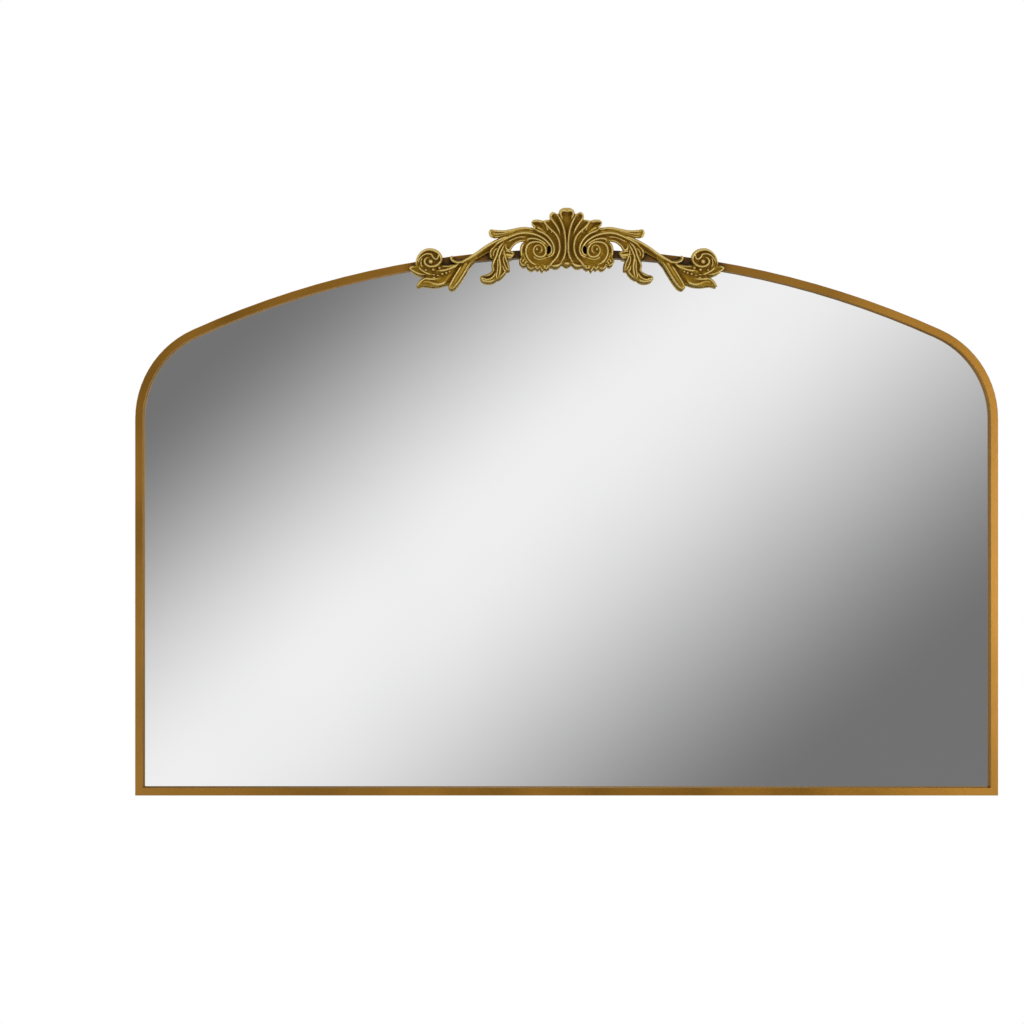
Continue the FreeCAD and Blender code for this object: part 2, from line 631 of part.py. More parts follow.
ROSETTE = [
    # outer curl running in to the eye, a second curl within it, and a tongue
    [(212, -23, 1.4, 8.6), (212, -14, 2.2, 10.2), (208.4, -6.6, 2.3, 10.8), (202, -0.8, 2.3, 11), (193, 0.6, 2.3, 11),
     (184, -1.2, 2.2, 11), (178.2, -6.4, 2.1, 11), (176.8, -13, 2, 11), (180, -19.2, 1.9, 11), (187, -22.8, 1.8, 11.1),
     (194.5, -22.4, 1.7, 11.3), (199.2, -18, 1.6, 11.5), (198.8, -12.4, 1.5, 11.6), (195.6, -9.6, 1.1, 11)],
    [(207, -26, 1, 8.8), (206.3, -17, 1.7, 10.6), (203, -9, 1.8, 11.2), (197, -5.2, 1.8, 11.3), (191.4, -6, 1.6, 11.2),
     (188, -10.4, 1, 10.4)],
    [(189.6, -3.4, 1, 10), (187.4, -9, 1.4, 11), (183.8, -12, 1.4, 11), (181, -9.6, 1.3, 10.8), (181.6, -4.4, 1, 10)],
]
# low ground that joins the members, with a deep bean-shaped recess beside the volute
GROUND_HEIGHT = 6.0
MIDDLE_GROUND = [
    (0, -16), (9, -17.5), (20, -17.5), (26, -22.5), (36, -23.5), (48, -22.5), (60, -17.5), (64.5, -8), (63, 3), (57, 13),
    (66, 14.5), (76, 11), (81, 5), (88, 3), (96, 6), (104, 7), (96, 13), (88, 21), (76, 25), (64, 28), (50, 27.5),
    (40, 32), (34, 33), (24, 32), (14, 38), (0, 42),
]
BEAN_CENTRE = (25.0, 0.3)
BEAN_HALF_WIDTH = 2.9
BEAN_HALF_HEIGHT = 5.6
BEAN_FLOOR = 1.2
ARM_GROUND = [
    (93, 12), (104, 6.5), (116, 0), (128, -8), (138, -15), (143, -22), (141, -27.5), (134, -20.4), (128, -16.4),
    (121, -11.6), (113, -6.4), (104, -1), (95, 4),
]
LEAF_GROUND = [
    (88, 9), (85, -6), (83.5, -18), (86, -25), (93, -33), (98, -36), (103, -36), (110, -40), (105.5, -30), (104, -20),
    (106, -10), (105, 0), (98, 8),
]
END_GROUND = [
    (146, -20), (160, -24), (176, -29), (190, -33), (200, -32), (197, -38), (196, -45), (184, -46), (170, -45),
    (161, -46), (155, -38), (148, -27),
]

VOLUTE_CENTRE = (45.5, -2.5)
VOLUTE_EYE = (41.8, 1.4)
VOLUTE_RADIUS = 17.5
VOLUTE_FLOOR = 7.2
VOLUTE_START = -100
VOLUTE_SWEEP = 520
FRILL_LOBES = 7
ROSETTE_CENTRE = (193.0, -15.5)
ROSETTE_RADIUS = 17.0
ROSETTE_FLOOR = 8.2
EYE_RADIUS = 3.2
BUTTON_Z = -18.0


def hood(foot, across, half, tall):
    """Rounded cross-section of a member, standing on its foot."""
    shape = ((-1, 0), (-1, 1.06), (-0.75, 1.07), (0.75, 1.07), (1, 1.06), (1, 0))
    curve = Part.BezierCurve()
    curve.setPoles([foot + across * (half * u) - BACKWARD * (tall * v) for u, v in shape])
    return Part.Wire([curve.toShape()])


def between(points, marks, station, field):
    """Value of a listed field at a station along the member's middle line."""
    place = 0
    while place < len(points) - 2 and station > marks[place + 1]:
        place += 1
    share = (station - marks[place]) / (marks[place + 1] - marks[place])
    share = min(1, max(0, share))
    return points[place][field] + (points[place + 1][field] - points[place][field]) * share


def ridge(points, step=7.0):
    """Member of the crest: a skin lofted through hoods set square to the middle line, on a flat foot."""
    curve = Part.BSplineCurve()
    curve.interpolate([at(x, 0, z) for x, z, half, height in points])
    marks = [curve.parameter(at(x, 0, z)) for x, z, half, height in points]
    stations = marks
    if step > 0:
        count = max(4, round(curve.length() / step))
        stations = [curve.parameterAtDistance(curve.length() * i / count, marks[0]) for i in range(count + 1)]
    hoods = []
    for station in stations:
        along = FreeCAD.Vector(*curve.tangent(station)[0])
        across = at(-along.z, 0, along.x)
        half = between(points, marks, station, 2)
        tall = between(points, marks, station, 3)
        hoods.append(hood(curve.value(station), across, half, tall))
    skin = Part.makeLoft(hoods, False, False).Faces[0]
    faces = [skin]
    ground = []
    for edge in skin.Edges:
        if edge.BoundBox.YLength < 0.01:
            ground.append(edge)
        else:
            chord = Part.makeLine(edge.Vertexes[0].Point, edge.Vertexes[-1].Point)
            ground.append(chord)
            faces.append(Part.Face(Part.Wire([edge, chord])))
    faces.append(Part.Face(Part.Wire(Part.__sortEdges__(ground))))
    shell = Part.Shell(faces)
    shell.sewShape()
    solid = Part.Solid(shell)
    if solid.Volume < 0:
        solid.reverse()
    return solid


def disc(centre, radius, height):
    return Part.makeCone(radius, radius - 1, height, at(centre[0], 0, centre[1]), -BACKWARD)


def eye(x, z, height):
    """Small round boss with a domed end."""
    stem = Part.makeCylinder(EYE_RADIUS, height - EYE_RADIUS, at(x, 0, z), -BACKWARD)
    return stem.fuse(Part.makeSphere(EYE_RADIUS, at(x, EYE_RADIUS - height, z)))


def volute_curl(count=16, wide=21, tight=4.5):
    """Curl that runs in from the frill while its centre shifts to the eye."""
    points = []
    for i in range(count):
        s = i / (count - 1)
        angle = math.radians(VOLUTE_START + VOLUTE_SWEEP * s)
        radius = tight + (wide - tight) * (1 - s) ** 1.25
        x = VOLUTE_CENTRE[0] + (VOLUTE_EYE[0] - VOLUTE_CENTRE[0]) * s + radius * math.cos(angle)
        z = VOLUTE_CENTRE[1] + (VOLUTE_EYE[1] - VOLUTE_CENTRE[1]) * s + radius * math.sin(angle)
        points.append((x, z, 2.3 - s, 10.6 + 1.6 * s))
    return points


def frill(index):
    """One of the rounded lobes that fringe the volute."""
    angle = -31 - 96 * index / (FRILL_LOBES - 1)
    reach = 21.5 + 4.5 * ((angle + 78) / 47) ** 2
    ux = reach * math.cos(math.radians(angle))
    uz = reach * math.sin(math.radians(angle))
    points = []
    for share, half, height in ((0.55, 2.2, 7.0), (0.85, 3.3, 8.3), (1.0, 3.0, 8.0), (1.12, 1.2, 6.4)):
        points.append((VOLUTE_CENTRE[0] - 1.5 + ux * share, VOLUTE_CENTRE[1] + uz * share, half, height))
    return points


def plate(outline, height):
    """Low ground between the members."""
    return polygon([at(x, 0, z) for x, z in outline]).extrude(-BACKWARD * height)


def joined(solids):
    whole = solids[0]
    for solid in solids[1:]:
        whole = whole.fuse(solid)
    return whole


def make_crest():
    shell = joined([ridge(line, 5.0) for line in SHELL])
    bands = joined([ridge(line) for line in BANDS])
    leaf = joined([ridge(line) for line in SHELL_LEAF])
    hanging = joined([ridge(line) for line in HANGING_LEAF])
    volute = [disc(VOLUTE_CENTRE, VOLUTE_RADIUS, VOLUTE_FLOOR)]
    volute += [ridge(frill(i), 4.0) for i in range(FRILL_LOBES)]
    volute += [ridge(volute_curl(), 0), ridge(VOLUTE_RIM), eye(VOLUTE_EYE[0], VOLUTE_EYE[1], 13.5)]
    rosette = [disc(ROSETTE_CENTRE, ROSETTE_RADIUS, ROSETTE_FLOOR)]
    rosette += [ridge(line, 5.0) for line in ROSETTE]
    rosette += [eye(ROSETTE_CENTRE[0], ROSETTE_CENTRE[1], 12.5)]
    ends = joined(rosette + [ridge(line) for line in END_LEAVES])
    tip = at(BEAN_CENTRE[0], 0, BEAN_CENTRE[1] + BEAN_HALF_HEIGHT)
    flank = at(BEAN_CENTRE[0] + BEAN_HALF_WIDTH, 0, BEAN_CENTRE[1])
    bean = Part.Ellipse(tip, flank, at(BEAN_CENTRE[0], 0, BEAN_CENTRE[1])).toShape()
    bean = moved(Part.Face(Part.Wire([bean])).extrude(-BACKWARD * GROUND_HEIGHT), 0, -BEAN_FLOOR, 0)
    bands = bands.fuse(plate(MIDDLE_GROUND, GROUND_HEIGHT).cut(bean))
    bands = bands.fuse(plate(ARM_GROUND, GROUND_HEIGHT - 0.4))
    hanging = hanging.fuse(plate(LEAF_GROUND, GROUND_HEIGHT - 0.6))
    ends = ends.fuse(plate(END_GROUND, GROUND_HEIGHT - 0.6))
    half = joined([bands, leaf, shell, hanging, joined(volute), ends])
    whole = joined([half, ridge(MIDDLE_FLUTE), eye(0, BUTTON_Z, 11), mirrored(half)]).removeSplitter()
    whole = moved(whole, 0, Y_FRONT, CROWN_Z - CREST_DROP)
    return whole.cut(crest_holes())


os.makedirs("parts", exist_ok=True)

arch_rail = make_arch_rail().cut(web_holes())
bottom_rail = make_bottom_rail()
key_right = make_corner_key()
for pin in key_screw_pins(SCREW_FIT):
    arch_rail = arch_rail.cut([pin, mirrored(pin)])
    bottom_rail = bottom_rail.cut([pin, mirrored(pin)])
    key_right = key_right.cut(pin)
save(arch_rail, "arch_rail")
save(bottom_rail, "bottom_rail")
save(key_right, "corner_key_right")
save(mirrored(key_right), "corner_key_left")
save(make_key_screws(), "corner_key_screws")

save(make_tape(), "glazing_tape")
save(make_glass(), "mirror_glass")
save(arch_plate(EDGE_INSET + FILM_MARGIN, Y_FILM, FILM_THICKNESS), "safety_film")
save(make_strips(), "foam_strips")
save(make_board(), "backing_board")
save(make_blocks(), "setting_blocks")
save(make_tabs(), "retainer_tabs")
save(screws_at(tab_screw_points(), Y_RIB, Y_BACK), "retainer_screws")

save(make_strap(-HOOK_SPACING / 2), "hanger_strap_left")
save(make_strap(HOOK_SPACING / 2), "hanger_strap_right")
save(make_ring(-HOOK_SPACING / 2), "d_ring_left")
save(make_ring(HOOK_SPACING / 2), "d_ring_right")
save(screws_at(strap_screw_points(), Y_BACK + 2 * STRAP_SHEET, Y_BACK), "hanger_screws")

save(make_bumpers(), "wall_bumpers")
save(screws_at(bumper_points(), Y_BACK + BUMPER_FLOOR, Y_BACK), "bumper_screws")

save(make_crest(), "crest")
save(make_brackets(), "crest_brackets")
save(crest_screws(), "crest_screws")
save(web_screws(), "bracket_screws")
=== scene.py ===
import json
import math

import bmesh
import bpy
import numpy as np
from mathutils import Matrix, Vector
from mathutils.geometry import tessellate_polygon


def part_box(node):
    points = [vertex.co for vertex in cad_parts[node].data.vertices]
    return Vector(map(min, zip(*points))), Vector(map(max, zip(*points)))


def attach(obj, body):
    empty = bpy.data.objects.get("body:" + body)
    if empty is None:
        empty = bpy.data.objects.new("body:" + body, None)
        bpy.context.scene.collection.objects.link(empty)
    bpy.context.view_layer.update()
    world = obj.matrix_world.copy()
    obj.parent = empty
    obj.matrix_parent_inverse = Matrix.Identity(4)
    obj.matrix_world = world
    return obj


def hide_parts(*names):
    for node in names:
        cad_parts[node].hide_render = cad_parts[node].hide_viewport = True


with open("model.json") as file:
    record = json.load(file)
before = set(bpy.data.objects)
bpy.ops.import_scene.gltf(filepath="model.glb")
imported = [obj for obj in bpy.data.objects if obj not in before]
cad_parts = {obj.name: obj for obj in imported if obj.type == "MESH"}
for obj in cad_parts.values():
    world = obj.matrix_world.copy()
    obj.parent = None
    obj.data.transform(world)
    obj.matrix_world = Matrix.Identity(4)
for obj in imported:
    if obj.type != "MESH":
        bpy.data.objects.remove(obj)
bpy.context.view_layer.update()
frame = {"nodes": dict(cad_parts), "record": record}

MM = 0.001

# The crest is a relief on a grid over its right half, in millimetres, with heights from its flat back

# Drop of its zero line under the top of the rim, and how much lower a point lies per unit of its height
CREST_DROP = 1.7
LEAN = 0.168

# Step and limits of the grid, and the cover of a point that no shape reaches
GRID = 0.5
HALF_SPAN = 226.0
LOWEST = -60.0
HIGHEST = 62.0
NO_COVER = -9.0

# Spacing of the samples along lines and along outlines
LINE_STEP = 0.6
OUTLINE_STEP = 1.0

# Grid worked on round a shape: most shapes, grounds, skirts of a rim, half widths of a groove
MARGIN = 1.0
GROUND_MARGIN = 3.0
SKIRTS = 2.5
GROOVE_HALVES = 3.0

# Outer edge: its height, the width it is rounded over, reach of the search for the outside in grid steps
EDGE_HEIGHT = 2.2
EDGE_ROLL = 1.7
REACH = 5

# How much higher the outline lies on the back, and where between two grid points the outline may cut
BACK_RISE = 0.4
CUT_LIMITS = (0.05, 0.95)

# Raised rims: the height they grow from, width of their soft skirt, share and sharpness of their ridge
RIM_FLOOR = 5.5
SKIRT = 4.2
RIDGE_SHARE = 0.5
RIM_SHARP = 0.82

# Taper of a rim's ends: share of the rim left at the tip, longest length, longest share of the line
TAPER = 0.45
TAPER_LENGTH = 7.0
TAPER_SHARE = 0.15

# Width of the wall of a pit
PIT_WALL = 0.7

# Smoothing of the mesh, and the angle in degrees above which an edge stays sharp
SMOOTH_ROUNDS = 2
SMOOTH_FACTOR = 0.5
SHARP_ANGLE = 70

# Wear and painted shade: blur that gives the level round a point, and the height over that level that adds
# 1
WEAR_SHADE_SPREAD = 1.8
BLUR_SPREADS = 3
WEAR_SHADE_DEPTH = 3.2

# Wear and painted shade: level with the surroundings, its least value, and its rise with height from a
# given level
WEAR_SHADE_BASE = 0.5
WEAR_SHADE_LEAST = 0.18
WEAR_SHADE_RISE = 0.035
WEAR_SHADE_LEVEL = 7.5

# Paler outer edge, as wear and painted highlight, and paler back, as painted light against the shade
# between the crest and the glass
EDGE_WEAR_HIGHLIGHT = 0.7
BACK_PAINTED_LIGHT = 0.8

# Least values that keep divisions in range
LEAST_SQUARE = 1e-12
LEAST_SHARE = 1e-3

# Low ground of the crest: height, closed outline (x, z)
GROUNDS = [
    # shell
    (6.2, [(-6, 58.8), (-2, 59.6), (2, 59.6), (7, 58.4), (10.4, 55.6), (11.2, 52.4), (13.4, 50.8),
           (16.2, 52.6), (19.8, 53.8), (23.2, 51.4), (24.3, 47.4), (24.2, 43.4), (27.6, 42.4), (31, 41.2),
           (29, 30), (20, 12), (13, -8), (9, -17.5), (-4, -17)]),
    # leaf beside the shell
    (6.5, [(29, 40.6), (33.5, 41.4), (38.5, 42.8), (43.5, 43), (47.8, 41.6), (50, 39), (49, 36),
           (46.4, 33), (46.6, 29.5), (38, 24), (28, 20), (22, 24)]),
    # bands that leave the shell and run out to the arm
    (6.2, [(30, 38), (24, 30.5), (16, 22.5), (11.5, 14), (10.2, 4), (11.5, -4), (16, -12.5), (23, -21),
           (28, -18), (24.5, -10), (22.4, -5), (22.2, 1), (23.6, 6), (28, 10), (36, 14.5), (45, 17.2),
           (55, 16.6), (58.5, 12.4), (63, 11.6), (70, 9.8), (74.6, 6.6), (77, 4), (78.6, 1), (82, -1),
           (86.5, 0), (93, -2), (101, 2), (105, 8), (99, 15), (90, 20), (80, 24), (70, 27.6), (60, 30),
           (50, 30), (40, 28)]),
    # foot between the shell and the volute
    (5.4, [(7, -18), (10, -8), (14, -9), (20, -15), (24, -22), (18, -23), (11, -22)]),
    # disc of the volute with its frilled edge
    (5.8, [(66.2, -5), (65.8, 2), (63.6, 8), (60.4, 12), (58, 16), (48, 19), (38, 17.6), (30, 13.4),
           (24, 8), (21.8, 1), (22, -5), (21, -9), (20.4, -14), (22.6, -21), (25.4, -25.4), (28.4, -27),
           (31.4, -25.6), (33, -27.8), (34.6, -29.8), (36.2, -27.8), (38, -25.4), (41.4, -27.6),
           (44.6, -25.2), (49, -27.6), (53.8, -25.6), (56.4, -21.4), (60.8, -22.6), (65.2, -19.8),
           (67.2, -14.6), (65.2, -10)]),
    # trumpet
    (6.0, [(46, 31), (53, 32), (60, 32.7), (68, 31.6), (76, 29.8), (84, 28.4), (92, 27.7), (100, 28.1),
           (105, 29.2), (108.4, 28.6), (109.6, 25), (108.6, 21), (105.6, 17.6), (102, 16.4), (96, 17.2),
           (90, 18.8), (82, 21.8), (74, 24.8), (64, 27), (54, 28), (46, 27)]),
    # arm
    (5.0, [(88, 18.4), (97, 15.4), (104, 12), (111, 8), (117, 4.2), (122, 0.6), (128, -3.8), (135, -8),
           (143, -13), (149, -19), (144, -33), (138.4, -24.8), (134, -19.6), (129, -14.8), (124, -11.2),
           (118, -7.8), (112, -4.4), (104, 0.2), (94, 7)]),
    # hanging leaf
    (5.5, [(86, 6), (87, -2), (85, -10), (81.6, -17), (80.4, -24), (80.6, -28.6), (84, -29), (86.6, -31),
           (91, -36), (95, -40.6), (98, -41.4), (100.5, -39), (102, -34), (104, -28), (106, -22),
           (105.4, -16), (105, -12.4), (108, -11.5), (109.4, -6.5), (108, -1), (103, 4), (97, 8)]),
    # curled lobe of the hanging leaf
    (6.0, [(101, -24), (105.4, -29), (109, -33.6), (114, -35.6), (119, -35.8), (122.4, -38.6),
           (121, -42.8), (115, -45.6), (107, -45.6), (100.4, -43), (97, -38), (96, -30)]),
    # bud
    (6.0, [(91, 4), (86, -0.2), (82, -0.6), (77.4, -1.6), (72.8, -4.4), (75, -8.6), (79.6, -12),
           (83.6, -11.2), (88, -13), (91, -6)]),
    # end leaves
    (5.6, [(222.5, -25.2), (219, -22.6), (213, -22.8), (205, -22), (195, -20), (184, -20), (176, -22.4),
           (168, -22.2), (160, -20.4), (150, -18.4), (143, -16), (140, -20), (146, -30), (153, -40),
           (160, -47), (166, -48), (172, -48.4), (180, -50.6), (190, -51.6), (198, -50.6), (205, -50.2),
           (212.6, -51.8), (210, -46.4), (206, -42), (201, -38.6), (197, -36.6), (205, -35.6),
           (213, -32.8), (219.5, -28.6)]),
    # rosette
    (6.5, [(213.6, -21), (212.8, -14), (210, -7), (205, -1.6), (198.5, 1.8), (191, 2.3), (184.5, 0.8),
           (179, -3.2), (175.8, -8.6), (175, -14), (177, -19), (184, -25), (196, -27), (208, -26)]),
]

# Rounded members of the crest: (x, z, half width, height)
MEMBERS = [
    # lip of the middle flute
    [(-4, 57.4, 2.2, 11), (0, 57.5, 2.2, 11), (4.4, 57.2, 2.2, 11), (8.4, 55, 2.0, 11),
     (10, 51.8, 1.6, 10.5)],
    # trumpet
    [(48, 29.2, 1.8, 8.6), (58, 30, 2.4, 9.0), (68, 28.6, 2.9, 9.2), (78, 26.3, 3.4, 9.2),
     (88, 24, 3.9, 9.0), (97, 22.8, 4.6, 8.8), (103.4, 22.9, 5.6, 9.0)],
    # stem
    [(142.6, -19, 4.6, 8.6), (147.2, -27, 4.7, 8.4), (152, -35, 4.5, 8.2), (157.4, -43.6, 4.0, 8.2),
     (163.2, -52.4, 3.4, 8.2)],
    # foot crescent
    [(21.6, -21.2, 1.6, 8), (17, -21.9, 2.4, 10.4), (12.6, -21.0, 2.6, 10.8), (8.0, -18.4, 1.6, 9)],
    # bud
    [(90, -5.4, 3.6, 9), (84, -6.6, 4, 10.4), (79, -6.8, 3.4, 10.4), (75, -5.6, 1.4, 9)],
    # hooked leaf
    [(143, -15, 1.6, 8.5), (149, -16.6, 1.7, 9), (155.5, -16.8, 1.8, 9.4), (160.8, -14.4, 1.9, 9.8),
     (162.6, -11, 1.6, 10)],
]

